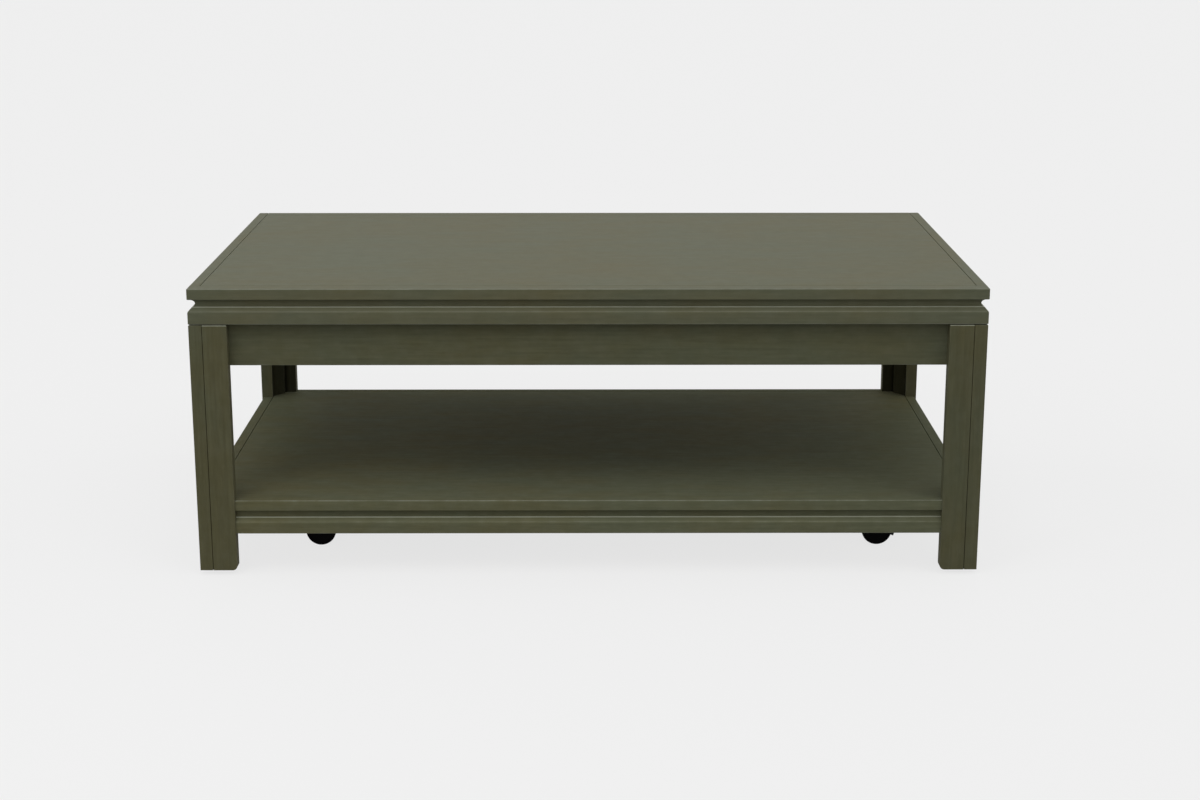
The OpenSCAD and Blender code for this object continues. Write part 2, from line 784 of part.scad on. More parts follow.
caster_wheel(LEFT, FRONT, FRONT);  // caster_fl_wheel_front
caster_wheel(LEFT, FRONT, BACK);  // caster_fl_wheel_back
caster_plate(RIGHT, FRONT);  // caster_fr_plate
caster_housing(RIGHT, FRONT, true);  // caster_fr_housing
caster_axle(RIGHT, FRONT);  // caster_fr_axle
caster_wheel(RIGHT, FRONT, FRONT);  // caster_fr_wheel_front
caster_wheel(RIGHT, FRONT, BACK);  // caster_fr_wheel_back
brake_lever(RIGHT, FRONT);  // caster_fr_brake_lever
caster_plate(LEFT, BACK);  // caster_rl_plate
caster_housing(LEFT, BACK, true);  // caster_rl_housing
caster_axle(LEFT, BACK);  // caster_rl_axle
caster_wheel(LEFT, BACK, FRONT);  // caster_rl_wheel_front
caster_wheel(LEFT, BACK, BACK);  // caster_rl_wheel_back
brake_lever(LEFT, BACK);  // caster_rl_brake_lever
caster_plate(RIGHT, BACK);  // caster_rr_plate
caster_housing(RIGHT, BACK, false);  // caster_rr_housing
caster_axle(RIGHT, BACK);  // caster_rr_axle
caster_wheel(RIGHT, BACK, FRONT);  // caster_rr_wheel_front
caster_wheel(RIGHT, BACK, BACK);  // caster_rr_wheel_back
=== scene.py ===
"""Looks of a painted coffee table on casters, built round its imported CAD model.

Everything is in metres and in the model's frame: +X runs along the table's length,
-Y is its front and +Z is up. The boards are olive painted wood with eased arrises, the
top and the shelf carry a cove moulding, and four twin-wheel casters stand under the shelf.
"""

import json
import logging
import math
from collections.abc import Callable, Iterable, Iterator
from contextlib import contextmanager
from dataclasses import dataclass, field
from enum import Enum

import bmesh
import bpy
from mathutils import Matrix, Vector

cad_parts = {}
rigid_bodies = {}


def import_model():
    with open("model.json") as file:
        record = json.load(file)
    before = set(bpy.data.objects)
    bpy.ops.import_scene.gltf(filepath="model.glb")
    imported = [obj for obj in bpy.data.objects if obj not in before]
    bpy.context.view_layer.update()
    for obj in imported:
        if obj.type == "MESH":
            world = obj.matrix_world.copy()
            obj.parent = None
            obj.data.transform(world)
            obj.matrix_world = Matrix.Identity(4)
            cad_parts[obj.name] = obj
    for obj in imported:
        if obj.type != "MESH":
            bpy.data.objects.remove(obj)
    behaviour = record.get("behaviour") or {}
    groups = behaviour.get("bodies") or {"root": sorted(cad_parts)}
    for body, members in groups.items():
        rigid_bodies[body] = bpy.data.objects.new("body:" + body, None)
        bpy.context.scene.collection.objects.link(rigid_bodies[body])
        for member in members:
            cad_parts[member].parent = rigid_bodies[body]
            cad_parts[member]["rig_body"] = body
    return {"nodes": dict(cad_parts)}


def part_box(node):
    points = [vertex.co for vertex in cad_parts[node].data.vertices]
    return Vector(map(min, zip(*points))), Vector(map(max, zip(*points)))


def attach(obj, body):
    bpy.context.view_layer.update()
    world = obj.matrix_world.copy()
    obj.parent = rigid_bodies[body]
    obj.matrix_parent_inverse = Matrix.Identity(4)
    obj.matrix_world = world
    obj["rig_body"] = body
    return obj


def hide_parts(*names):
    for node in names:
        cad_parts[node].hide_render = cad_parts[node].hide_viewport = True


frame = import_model()

LOG = logging.getLogger("coffee_table")

Piece = bpy.types.Object
Socket = bpy.types.NodeSocket
Inputs = dict[str | int, object]
Place = tuple[float, float, float]
Coat = tuple[bpy.types.Material, ...]

# The places of a coat's materials: faces, arrises (with wear and a painted highlight) and lines of
# painted highlight; and the word for leaving each face its own
FACES, ARRISES, PAINTED_HIGHLIGHT = range(3)
OWN = -1

# Lengths closer than TOUCH are the same, edges blunter than SMOOTH_BELOW are shaded smooth, and
# a face looks along a way when its normal goes along it by more than FACING
TOUCH = 1e-5
SMOOTH_BELOW = math.radians(35)
FACING = 0.9

UP: Place = (0, 0, 1)
BACKWARD: Place = (0, 1, 0)
CORNERS = {"fl": (-1, -1), "fr": (1, -1), "rl": (-1, 1), "rr": (1, 1)}
CASTER_PLATE = 0.0025
SUN_AWAY = 5


class Side(Enum):
    """A side of the table, as the way out of it along X and Y."""

    LEFT = (-1, 0)
    RIGHT = (1, 0)
    FRONT = (0, -1)
    BACK = (0, 1)


class Grain(Enum):
    """The way that a board's grain and the brush run, as the axis of its length."""

    LENGTH = 0
    WIDTH = 1
    UPRIGHT = 2


class Slot(Enum):
    """The record's material slots."""

    PAINT = "olive_paint"
    WOOD = "bare_wood"
    ZINC = "zinc_steel"
    NYLON = "black_nylon"
    WHEEL = "wheel_nylon"


# Tools of the bench


def choose_only(piece: Piece) -> None:
    """Selects one object alone and makes it the active one."""
    bpy.ops.object.select_all(action="DESELECT")
    piece.select_set(True)
    bpy.context.view_layer.objects.active = piece


def take_new(name: str, coat: Coat) -> Piece:
    """Takes over the object that an operator has just added, and puts its place in its mesh.

    Args:
        name: the piece's name.
        coat: its materials, in the order of FACES, ARRISES and PAINTED_HIGHLIGHT.

    Returns:
        The object, at the origin, unturned and unscaled.
    """
    piece = bpy.context.object
    piece.name = piece.data.name = name
    choose_only(piece)
    bpy.ops.object.transform_apply(location=True, rotation=True, scale=True)
    for material in coat:
        piece.data.materials.append(material)
    return piece


def saw(
    name: str, low: Iterable[float], high: Iterable[float], coat: Coat, turned: float = 0
) -> Piece:
    """Saws a square block.

    Args:
        name: the piece's name.
        low: its lowest corner.
        high: its highest corner.
        coat: its materials, in the order of FACES, ARRISES and PAINTED_HIGHLIGHT.
        turned: the angle in degrees that it is turned by about its upright middle line.

    Returns:
        The block.
    """
    low, high = Vector(low), Vector(high)
    angle = (0, 0, math.radians(turned))
    bpy.ops.object.select_all(action="DESELECT")
    bpy.ops.mesh.primitive_cube_add(
        size=1, location=(low + high) / 2, scale=high - low, rotation=angle
    )
    return take_new(name, coat)


def turn(
    name: str, middle: Place, radius: float, length: float, way: Place, coat: Coat, sides: int = 32
) -> Piece:
    """Turns a plain cylinder.

    Args:
        name: the piece's name.
        middle: the cylinder's middle.
        radius: its radius.
        length: its length.
        way: the direction of its axis.
        coat: its materials, in the order of FACES, ARRISES and PAINTED_HIGHLIGHT.
        sides: the number of its flat sides.

    Returns:
        The cylinder.
    """
    tilt = Vector(way).to_track_quat("Z", "Y").to_euler()
    bpy.ops.object.select_all(action="DESELECT")
    bpy.ops.mesh.primitive_cylinder_add(
        vertices=sides, radius=radius, depth=length, location=middle, rotation=tilt
    )
    return take_new(name, coat)


@contextmanager
def shaping(piece: Piece, kind: str = "VERT") -> Iterator[None]:
    """Opens a piece in edit mode with nothing selected, and closes it again.

    Args:
        piece: the piece to shape.
        kind: what is selected in it, VERT, EDGE or FACE.
    """
    choose_only(piece)
    bpy.ops.object.mode_set(mode="EDIT")
    bpy.ops.mesh.select_mode(type=kind)
    bpy.ops.mesh.select_all(action="DESELECT")
    yield
    bpy.ops.object.mode_set(mode="OBJECT")


def pick_points(piece: Piece, test: Callable[[Vector], bool]) -> None:
    """Selects the points of the open piece whose place passes a test, and no others."""
    shape = bmesh.from_edit_mesh(piece.data)
    for point in shape.verts:
        point.select = test(point.co)
    shape.select_flush(True)
    shape.select_flush(False)
    bmesh.update_edit_mesh(piece.data)


def pick_edges(piece: Piece, test: Callable[[Vector], bool]) -> None:
    """Selects the edges of the open piece whose two ends pass a test, and no others."""
    pick_spans(piece, lambda one, other: test(one) and test(other))


def pick_spans(piece: Piece, test: Callable[[Vector, Vector], bool]) -> None:
    """Selects the edges of the open piece whose ends pass a test together, and no others."""
    shape = bmesh.from_edit_mesh(piece.data)
    for edge in shape.edges:
        edge.select_set(False)
    for edge in shape.edges:
        if test(edge.verts[0].co, edge.verts[1].co):
            edge.select_set(True)
    bmesh.update_edit_mesh(piece.data)


def pick_faces(piece: Piece, test: Callable[[Vector, Vector], bool]) -> None:
    """Selects the faces of the open piece whose middle and normal pass a test, and no others."""
    shape = bmesh.from_edit_mesh(piece.data)
    shape.normal_update()
    for face in shape.faces:
        face.select_set(False)
    for face in shape.faces:
        if test(face.calc_center_median(), face.normal):
            face.select_set(True)
    bmesh.update_edit_mesh(piece.data)


def near(a: float, b: float) -> bool:
    """Tells whether two lengths are the same."""
    return abs(a - b) < TOUCH


def slants_up(way: Vector) -> bool:
    """Tells whether a face looks up aslant."""
    return 0.1 < way.z < 0.99


def round_edges(width: float, segments: int = 3, material: int = ARRISES) -> None:
    """Rounds the selected edges of the open piece, in one of the materials of its coat."""
    bpy.ops.mesh.bevel(offset=width, segments=segments, affect="EDGES", material=material)


def cut_off(piece: Piece, place: Iterable[float], way: Iterable[float]) -> None:
    """Saws off what lies beyond a plane, and closes the cut.

    Args:
        piece: the piece to saw.
        place: a point of the cut.
        way: the cut's normal, towards what goes.
    """
    with shaping(piece):
        bpy.ops.mesh.select_all(action="SELECT")
        bpy.ops.mesh.bisect(plane_co=place, plane_no=way, use_fill=True, clear_outer=True)


def apply_modifier(piece: Piece, modifier: bpy.types.Modifier) -> None:
    """Applies a modifier of a piece."""
    choose_only(piece)
    bpy.ops.object.modifier_apply(modifier=modifier.name)


def ease(piece: Piece, width: float, segments: int = 3) -> None:
    """Rounds all the sharp arrises of a piece, and gives them the arris coat.

    Args:
        piece: the piece.
        width: the width that is taken off each face.
        segments: the number of faces round the arris.
    """
    bevel = piece.modifiers.new("eased arrises", "BEVEL")
    bevel.width = width
    bevel.segments = segments
    bevel.limit_method = "ANGLE"
    bevel.angle_limit = SMOOTH_BELOW
    bevel.material = ARRISES
    apply_modifier(piece, bevel)


def drill(piece: Piece, bits: list[Piece]) -> None:
    """Takes the room of some closed bits out of a piece, and throws the bits away."""
    for bit in bits:
        cut = piece.modifiers.new("hole", "BOOLEAN")
        cut.operation = "DIFFERENCE"
        cut.object = bit
        apply_modifier(piece, cut)
        bpy.data.objects.remove(bit)


def smooth(piece: Piece) -> None:
    """Shades a piece smooth across its small facets, with its wide faces flat."""
    choose_only(piece)
    bpy.ops.object.shade_smooth_by_angle(angle=SMOOTH_BELOW)
    normals = piece.modifiers.new("flat faces", "WEIGHTED_NORMAL")
    normals.keep_sharp = True
    apply_modifier(piece, normals)


def copy_of(piece: Piece, name: str, place: Matrix) -> Piece:
    """Copies a piece, with its own mesh, to another place.

    Args:
        piece: the piece to copy.
        name: the copy's name.
        place: where it goes, from where the first one is. It may mirror the piece.

    Returns:
        The copy, faces outward.
    """
    other = piece.copy()
    other.data = piece.data.copy()
    other.name = other.data.name = name
    bpy.context.scene.collection.objects.link(other)
    other.data.transform(place)
    if place.determinant() < 0:
        other.data.flip_normals()
    return other


def join(pieces: list[Piece]) -> Piece:
    """Joins pieces into the first one."""
    choose_only(pieces[0])
    for piece in pieces:
        piece.select_set(True)
    bpy.ops.object.join()
    return pieces[0]


def fit(piece: Piece, node: str) -> Piece:
    """Puts a finished piece in the place of its CAD node, on the node's body.

    Args:
        piece: the finished piece.
        node: the CAD node that it stands for.

    Returns:
        The piece.
    """
    smooth(piece)
    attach(piece, frame["nodes"][node]["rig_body"])
    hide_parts(node)
    LOG.info("%s: %d faces", piece.name, len(piece.data.polygons))
    return piece


# Finishes


class Recipe:
    """A material's nodes, built from what goes in to what comes out."""

    def __init__(self, name: str) -> None:
        """Starts a material with an empty principled shader."""
        self.material = bpy.data.materials.new(name)
        self.material.use_nodes = True
        self.tree = self.material.node_tree
        self.shader = self.tree.nodes["Principled BSDF"]

    def node(self, kind: str, inputs: Inputs, **settings: object) -> bpy.types.Node:
        """Adds a node.

        Args:
            kind: the node's type, without the word ShaderNode.
            inputs: its inputs by name or number, each a plain value or another node's output.
            settings: its own properties.

        Returns:
            The node.
        """
        made = self.tree.nodes.new(f"ShaderNode{kind}")
        for name, value in settings.items():
            setattr(made, name, value)
        self.feed(made, inputs)
        return made

    def feed(self, node: bpy.types.Node, inputs: Inputs) -> None:
        """Sets or links the inputs of a node."""
        for name, value in inputs.items():
            if isinstance(value, Socket):
                self.tree.links.new(value, node.inputs[name])
            else:
                node.inputs[name].default_value = value

    def place(self, stretch: Place) -> Socket:
        """Gives the piece's own coordinates, stretched by a factor along each axis."""
        own = self.node("TexCoord", {}).outputs["Object"]
        return self.node("Mapping", {"Vector": own, "Scale": stretch}).outputs[0]

    def noise(self, where: Socket, scale: float, detail: float, rough: float) -> Socket:
        """Gives a grey cloud pattern about 0.5."""
        inputs = {"Vector": where, "Scale": scale, "Detail": detail, "Roughness": rough}
        return self.node("TexNoise", inputs).outputs[0]

    def span(
        self, value: Socket, low: float, high: float, to_low: float, to_high: float
    ) -> Socket:
        """Maps a range of values to another one, and holds it there."""
        inputs = {0: value, 1: low, 2: high, 3: to_low, 4: to_high}
        return self.node("MapRange", inputs).outputs[0]

    def blend(self, share: object, first: object, second: object) -> Socket:
        """Mixes two colours by a share."""
        return self.node("Mix", {0: share, 6: first, 7: second}, data_type="RGBA").outputs[2]

    def shade(self, colour: Socket, value: Socket) -> Socket:
        """Makes a colour lighter or darker by a factor."""
        return self.node("HueSaturation", {"Color": colour, "Value": value}).outputs[0]

    def relief(self, height: Socket, depth: float, under: Socket | None = None) -> Socket:
        """Gives a normal that is roughened by a pattern of some depth in metres."""
        made = self.node("Bump", {"Height": height, "Distance": depth, "Strength": 1.0})
        if under:
            self.feed(made, {"Normal": under})
        return made.outputs[0]

    def finish(self, **inputs: object) -> bpy.types.Material:
        """Sets the shader's inputs, with words joined by an underscore, and gives the material."""
        self.feed(self.shader, {name.replace("_", " "): value for name, value in inputs.items()})
        return self.material


def along(grain: Grain, lengthwise: float, crosswise: float) -> Place:
    """Gives the factors that stretch a pattern along a grain."""
    factors = [crosswise] * 3
    factors[grain.value] = lengthwise
    return tuple(factors)


@dataclass(frozen=True)
class OlivePaint:
    """Satin olive paint, brushed along the grain of the wood under it."""

    name: str
    gloss: float
    tone: float
    wear_and_highlight: float
    green: tuple = (0.098, 0.103, 0.0625, 1)
    brown: tuple = (0.103, 0.097, 0.0510, 1)
    # The light colour that wear and the painted highlights lighten the paint towards.
    wear_and_highlight_colour: tuple = (0.192, 0.199, 0.152, 1)
    # How much lighter the lines of painted highlight are than plain paint.
    highlight_lift: float = 1.42
    rough: float = 0.60

    def coat(self, grain: Grain) -> Coat:
        """Mixes the paint for one grain: on faces, on arrises, which wear and a painted highlight
        make lighter, and on the bright lines of painted highlight along mouldings and leg tops.
        """
        faces = self.mix("faces", grain, 0.0, 0.10, self.tone)
        # Arrises: partly real wear, partly a painted highlight that stands in for the light the
        # rounded edge catches.
        arrises = self.mix("arrises", grain, self.wear_and_highlight, 1.0, self.tone)
        # Painted highlight: a much lighter paint for the bright lines on a moulding's ledge and a
        # leg's upper arris.
        ledges = self.mix("ledges", grain, 0.9, 1.0, self.tone * self.highlight_lift)
        return faces, arrises, ledges

    def mix(
        self, where: str, grain: Grain, wear_and_highlight_least: float, wear_and_highlight_most: float, tone: float
    ) -> bpy.types.Material:
        """Mixes one paint.

        Args:
            where: the surfaces that it is for.
            grain: the way of the brush.
            wear_and_highlight_least: how far it is lightened where it is sound; on faces this is
                wear, on arrises wear and painted highlight, on highlight lines painted highlight.
            wear_and_highlight_most: how far it is lightened in the patches where hands and dusters
                reach it most, with the painted highlight at its brightest.
            tone: how much lighter it is than plain.

        Returns:
            The material.
        """
        made = Recipe(f"{self.name} paint on {where}, {grain.name.lower()}")
        plain = made.place((1, 1, 1))
        cloud = made.noise(plain, 2.6, 3, 0.5)
        blotch = made.noise(made.place(along(grain, 9, 26)), 1.0, 3, 0.5)
        tint = made.node("Mix", {0: 0.45, 2: cloud, 3: blotch}).outputs[0]
        greenest = 0.50 if grain is Grain.UPRIGHT else 0.38
        browned = made.span(tint, greenest - 0.04, greenest + 0.2, 1, 0)
        colour = made.blend(browned, self.green, self.brown)
        patch = made.noise(plain, 46, 4, 0.6)
        # Patches lighten the paint: wear on faces, wear and a painted highlight on arrises, painted
        # highlight on highlight lines.
        colour = made.blend(made.span(patch, 0.4, 0.72, wear_and_highlight_least, wear_and_highlight_most), colour, self.wear_and_highlight_colour)
        streak = made.noise(made.place(along(grain, 4, 190)), 1.0, 5, 0.62)
        dash = made.noise(made.place(along(grain, 28, 210)), 1.0, 3, 0.6)
        colour = made.shade(colour, made.span(streak, 0.3, 0.7, 0.925 * tone, 1.075 * tone))
        colour = made.shade(colour, made.span(dash, 0.25, 0.7, 0.91, 1.06))
        brush = made.noise(made.place(along(grain, 12, 800)), 1.0, 3, 0.6)
        peel = made.noise(plain, 420, 2, 0.5)
        return made.finish(
            Base_Color=colour,
            Roughness=made.span(streak, 0.3, 0.7, self.rough - 0.04, self.rough + 0.05),
            Specular_IOR_Level=self.gloss,
            Normal=made.relief(peel, 0.000018, made.relief(brush, 0.00003)),
        )


@dataclass(frozen=True)
class BareWood:
    """Pale planed wood with growth rings, where no paint is seen."""

    early: tuple = (0.60, 0.43, 0.25, 1)
    late: tuple = (0.42, 0.26, 0.13, 1)
    rough: float = 0.66

    def coat(self, grain: Grain) -> Coat:
        """Makes the wood for boards of one grain, on their faces and on their arrises."""
        made = Recipe(f"bare wood, {grain.name.lower()}")
        bend = made.noise(made.place(along(grain, 1.2, 9)), 1.6, 3, 0.5)
        where = made.place(along(grain, 0.6, 16))
        inputs = {"Vector": where, "Scale": 1.3, "Distortion": 5.0, "Detail": 3.0}
        rings = made.node("TexWave", inputs, wave_type="RINGS", rings_direction="SPHERICAL")
        fibre = made.noise(made.place(along(grain, 8, 700)), 1.0, 4, 0.65)
        late = made.span(rings.outputs["Fac"], 0.25, 0.95, 0, 1)
        colour = made.blend(late, self.early, self.late)
        colour = made.shade(colour, made.span(fibre, 0.25, 0.75, 0.86, 1.1))
        colour = made.shade(colour, made.span(bend, 0.3, 0.7, 0.92, 1.08))
        material = made.finish(
            Base_Color=colour,
            Roughness=made.span(fibre, 0.3, 0.7, self.rough - 0.06, self.rough + 0.12),
            Normal=made.relief(fibre, 0.00008),
        )
        return material, material


@dataclass(frozen=True)
class ZincSteel:
    """Bright zinc plating with faint rolled marks and a dull bloom."""

    bright: tuple = (0.66, 0.67, 0.68, 1)
    dull: tuple = (0.47, 0.47, 0.45, 1)
    name: str = "zinc plated steel"

    def coat(self) -> Coat:
        """Plates the steel."""
        made = Recipe(self.name)
        plain = made.place((1, 1, 1))
        bloom = made.noise(plain, 90, 5, 0.65)
        marks = made.noise(made.place((1, 40, 40)), 60, 3, 0.6)
        material = made.finish(
            Base_Color=made.blend(made.span(bloom, 0.42, 0.68, 0, 1), self.bright, self.dull),
            Metallic=1.0,
            Roughness=made.span(bloom, 0.35, 0.7, 0.24, 0.46),
            Normal=made.relief(marks, 0.00001),
        )
        return material, material


@dataclass(frozen=True)
class MouldedNylon:
    """Black moulded nylon with a fine spark texture and a little dust."""

    name: str
    base: tuple
    dust: tuple = (0.020, 0.019, 0.018, 1)
    dusty: float = 0.25
    rough: float = 0.5
    gloss: float = 0.12

    def coat(self) -> Coat:
        """Moulds the nylon."""
        made = Recipe(self.name)
        plain = made.place((1, 1, 1))
        cloud = made.noise(plain, 70, 6, 0.7)
        spark = made.noise(plain, 1800, 2, 0.5)
        dusted = made.span(cloud, 0.5, 0.75, 0, self.dusty)
        material = made.finish(
            Base_Color=made.blend(dusted, self.base, self.dust),
            Roughness=made.span(cloud, 0.3, 0.75, self.rough - 0.06, self.rough + 0.14),
            Specular_IOR_Level=self.gloss,
            Normal=made.relief(spark, 0.00003),
        )
        return material, material


def coats(finish: OlivePaint | BareWood, grains: Iterable[Grain]) -> dict[Grain, Coat]:
    """Mixes a finish for boards of some grains."""
    return {grain: finish.coat(grain) for grain in grains}


@dataclass
class Paintshop:
    """All the coats that the table's pieces take, each mixed once."""

    polished: dict[Grain, Coat] = field(init=False)
    satin: dict[Grain, Coat] = field(init=False)
    dull: dict[Grain, Coat] = field(init=False)
    painted_shade: Coat = field(init=False)
    wood: dict[Grain, Coat] = field(init=False)
    zinc: Coat = field(init=False)
    steel: Coat = field(init=False)
    nylon: Coat = field(init=False)
    wheel: Coat = field(init=False)

    def __post_init__(self) -> None:
        """Mixes the coats."""
        flat = (Grain.LENGTH, Grain.WIDTH)
        upright = (Grain.UPRIGHT,)
        # Tones are set piece by piece for the light each gets, lit and shaded copies of one olive
        # paint: the shelf's is lighter to make up for the shade under the top, and the legs' and
        # the top's are darker where more light falls.
        self.polished = coats(OlivePaint("polished olive", gloss=0.18, tone=0.93, wear_and_highlight=0.6), flat)
        self.satin = coats(OlivePaint("satin olive", gloss=0.03, tone=0.95, wear_and_highlight=0.15), flat)
        self.satin |= coats(OlivePaint("leg olive", gloss=0.03, tone=0.88, wear_and_highlight=0.15), upright)
        self.dull = coats(OlivePaint("dull olive", gloss=0.01, tone=1.12, wear_and_highlight=0.35), flat)
        # A dark coat of painted shade: it darkens the legs' inner faces and corner blocks, where
        # shade falls in the corner.
        painted_shade = OlivePaint("dark undercoat", gloss=0.0, tone=0.30, wear_and_highlight=0.1)
        self.painted_shade = painted_shade.coat(Grain.UPRIGHT)
        self.wood = coats(BareWood(), flat)
        self.zinc = ZincSteel().coat()
        self.steel = ZincSteel((0.56, 0.57, 0.58, 1), (0.40, 0.39, 0.38, 1), "turned steel").coat()
        self.nylon = MouldedNylon("black nylon", (0.0040, 0.0040, 0.0044, 1)).coat()
        wheel = MouldedNylon("wheel nylon", (0.0018, 0.0018, 0.0019, 1), dusty=0.08, gloss=0.03)
        self.wheel = wheel.coat()


# Mouldings


@dataclass(frozen=True)
class Moulding:
    """The edge's outline: a flat band, a cove under it, a bevel in two slopes and a lower band."""

    height: float
    band: float = 0.0169
    cove_depth: float = 0.0104
    cove_height: float = 0.0076
    cove_lip: float = 15
    cove_end: float = 6
    hollow: float = 0.003
    bevel_height: float = 0.0024
    upper_slope: float = 56
    ledge_width: float = 0.0025
    ledge_drop: float = 0.0011
    lower_slope: float = 48.5
    knuckle: float = 0.0043
    top_arris: float = 0.0012
    band_arris: float = 0.0012
    corner_round: float = 0.0014
    # Where the knuckle's rounding is painted as a highlight, as shares of its radius
    highlight_from: float = 0.53
    highlight_to: float = 0.72

    @property
    def cove_level(self) -> float:
        """The level where the cove is deepest."""
        return self.height - self.band - self.cove_height

    @property
    def bevel_top(self) -> tuple[float, float]:
        """The level and the inset where the cove's hollow turns into the bevel."""
        slope = math.radians(self.upper_slope)
        level = self.cove_level - self.hollow * math.cos(slope)
        return level, self.cove_depth - self.hollow * (1 - math.sin(slope))

    @property
    def ledge(self) -> tuple[float, float]:
        """The level and the inset of the ledge's inner end, at the foot of the upper slope."""
        level, inset = self.bevel_top
        drop = self.bevel_height
        return level - drop, inset - drop / math.tan(math.radians(self.upper_slope))

    @property
    def ledge_lip(self) -> tuple[float, float]:
        """The level and the inset of the ledge's outer end, at the head of the lower slope."""
        level, inset = self.ledge
        return level - self.ledge_drop, inset - self.ledge_width

    @property
    def knuckle_level(self) -> float:
        """The level where the bevel has turned into the lower band."""
        slope = math.radians(self.lower_slope)
        level, inset = self.ledge_lip
        return level - inset * math.tan(slope) - self.knuckle * math.tan((math.pi / 2 - slope) / 2)

    def rings(self) -> list[tuple[float, float]]:
        """Works the outline out, from the top down.

        Returns:
            Pairs of the level above the edge's foot and the inset from its outer face.
        """
        cove, knuckle = self.cove_level, self.knuckle
        hollow_in = self.cove_depth - self.hollow
        lip, end = 90 - self.cove_lip, self.cove_end
        top = self.height - self.top_arris
        under = self.height - self.band + self.band_arris
        return [
            *arc((self.top_arris, top), self.top_arris, self.top_arris, 90, 180, 5),
            *arc((self.band_arris, under), self.band_arris, self.band_arris, 180, 270, 4),
            *arc((0, cove), self.cove_depth, self.cove_height, lip, end, 10),
            *arc((hollow_in, cove), self.hollow, self.hollow, 0, self.upper_slope - 90, 4),
            self.ledge,
            self.ledge_lip,
            *arc((knuckle, self.knuckle_level), knuckle, knuckle, 90 + self.lower_slope, 180, 6),
            (0, 0),
        ]

    def painted_highlight_bands(self) -> list[tuple[float, float, int]]:
        """Gives the lines of painted highlight, each by its lowest and highest level and coat."""
        foot, round_off = self.knuckle_level, self.knuckle
        return [
            (self.ledge_lip[0], self.ledge[0], PAINTED_HIGHLIGHT),
            (foot + self.highlight_from * round_off, foot + self.highlight_to * round_off, ARRISES),
            (self.height - self.top_arris, self.height, ARRISES),
        ]


def arc(
    centre: tuple[float, float], wide: float, high: float, start: float, end: float, steps: int
) -> list[tuple[float, float]]:
    """Gives the points of an arc of an ellipse, as pairs of level and distance.

    Args:
        centre: the distance and the level of its centre.
        wide: its radius along the distance.
        high: its radius along the level.
        start: the first angle in degrees, from the way of growing distance.
        end: the last angle in degrees.
        steps: the number of its chords.

    Returns:
        Pairs of level and distance.
    """
    turns = [math.radians(start + (end - start) * step / steps) for step in range(steps + 1)]
    return [(centre[1] + high * math.sin(a), centre[0] + wide * math.cos(a)) for a in turns]


def corner_of(side: Side, low: Vector, high: Vector) -> tuple[int, Vector]:
    """Gives the axis that a side looks along, and the corner of a box that lies on it."""
    axis = 0 if side.value[0] else 1
    return axis, low if side.value[axis] < 0 else high


def mould(
    piece: Piece, low: Vector, high: Vector, moulding: Moulding, sides: list[Side]
) -> None:
    """Runs a moulding along some sides of a square block, mitred where two of them meet.

    Args:
        piece: the block, as high as the moulding.
        low: the block's lowest corner.
        high: the block's highest corner.
        moulding: the outline.
        sides: the sides that carry it.
    """
    faces = {side: corner_of(side, low, high) for side in sides}
    rings = [(low.z + level, inset) for level, inset in moulding.rings()]
    with shaping(piece):
        for level, _ in rings[1:-1]:
            bpy.ops.mesh.select_all(action="SELECT")
            bpy.ops.mesh.bisect(plane_co=(0, 0, level), plane_no=(0, 0, 1))
        for level, inset in rings:
            for side, (axis, face) in faces.items():
                pick_points(piece, lambda p: near(p.z, level) and near(p[axis], face[axis]))
                inward = (-side.value[0] * inset, -side.value[1] * inset, 0)
                bpy.ops.transform.translate(value=inward)
        bpy.ops.mesh.select_mode(type="FACE")
        # Paints the highlight lines: the ledge, the knuckle and the top arris take lighter coats
        # that stand in for the light they catch.
        for lowest, highest, coat in moulding.painted_highlight_bands():
            reach = (low.z + lowest, low.z + highest)
            pick_faces(piece, lambda at, way: reach[0] < at.z < reach[1] and slants_up(way))
            piece.active_material_index = coat
            bpy.ops.object.material_slot_assign()
        bpy.ops.mesh.select_mode(type="EDGE")
        for x in [face.x for side, (_, face) in faces.items() if side.value[0]]:
            for y in [face.y for side, (_, face) in faces.items() if side.value[1]]:
                pick_edges(piece, lambda p: near(abs(p.x - x), abs(p.y - y)))
                round_edges(moulding.corner_round, material=OWN)


# Sub-assemblies


@dataclass
class MouldedSlab:
    """A thick moulded slab, the top or the shelf: a panel and four edge strips."""

    name: str
    paint: dict[Grain, Coat]
    moulding: Moulding
    joint: float = 0.0003
    gap: float = 0.0005
    hairline: float = 0.0011
    crack: float = 0.0003
    foot_arris: float = 0.0010

    def board(
        self,
        part: str,
        grain: Grain,
        open_to: list[Side],
        closed_to: list[Side],
        moulded: list[Side],
    ) -> None:
        """Makes the panel or a strip, and puts it in the place of its node.

        Args:
            part: the node's name after the slab's.
            grain: the way of its grain.
            open_to: the sides where it meets a neighbour with an open joint.
            closed_to: the sides where the joint is only a hairline.
            moulded: the sides that carry the moulding.
        """
        node = f"{self.name}_{part}"
        low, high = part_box(node)
        backs = dict.fromkeys(closed_to, self.crack) | dict.fromkeys(open_to, self.gap)
        for side, back in backs.items():
            axis, edge = corner_of(side, low, high)
            edge[axis] -= sum(side.value) * back
        piece = saw(f"{node}_made", low, high, self.paint[grain])
        if moulded:
            mould(piece, low, high, self.moulding, moulded)
        widths = dict.fromkeys(closed_to, self.hairline) | dict.fromkeys(open_to, self.joint)
        with shaping(piece, "EDGE"):
            for side, width in widths.items():
                axis, edge = corner_of(side, low, high)
                pick_edges(piece, lambda p: near(p.z, high.z) and near(p[axis], edge[axis]))
                round_edges(width, 2, FACES)
            if moulded:
                pick_edges(piece, lambda p: near(p.z, low.z))
                round_edges(self.foot_arris)
        fit(piece, node)


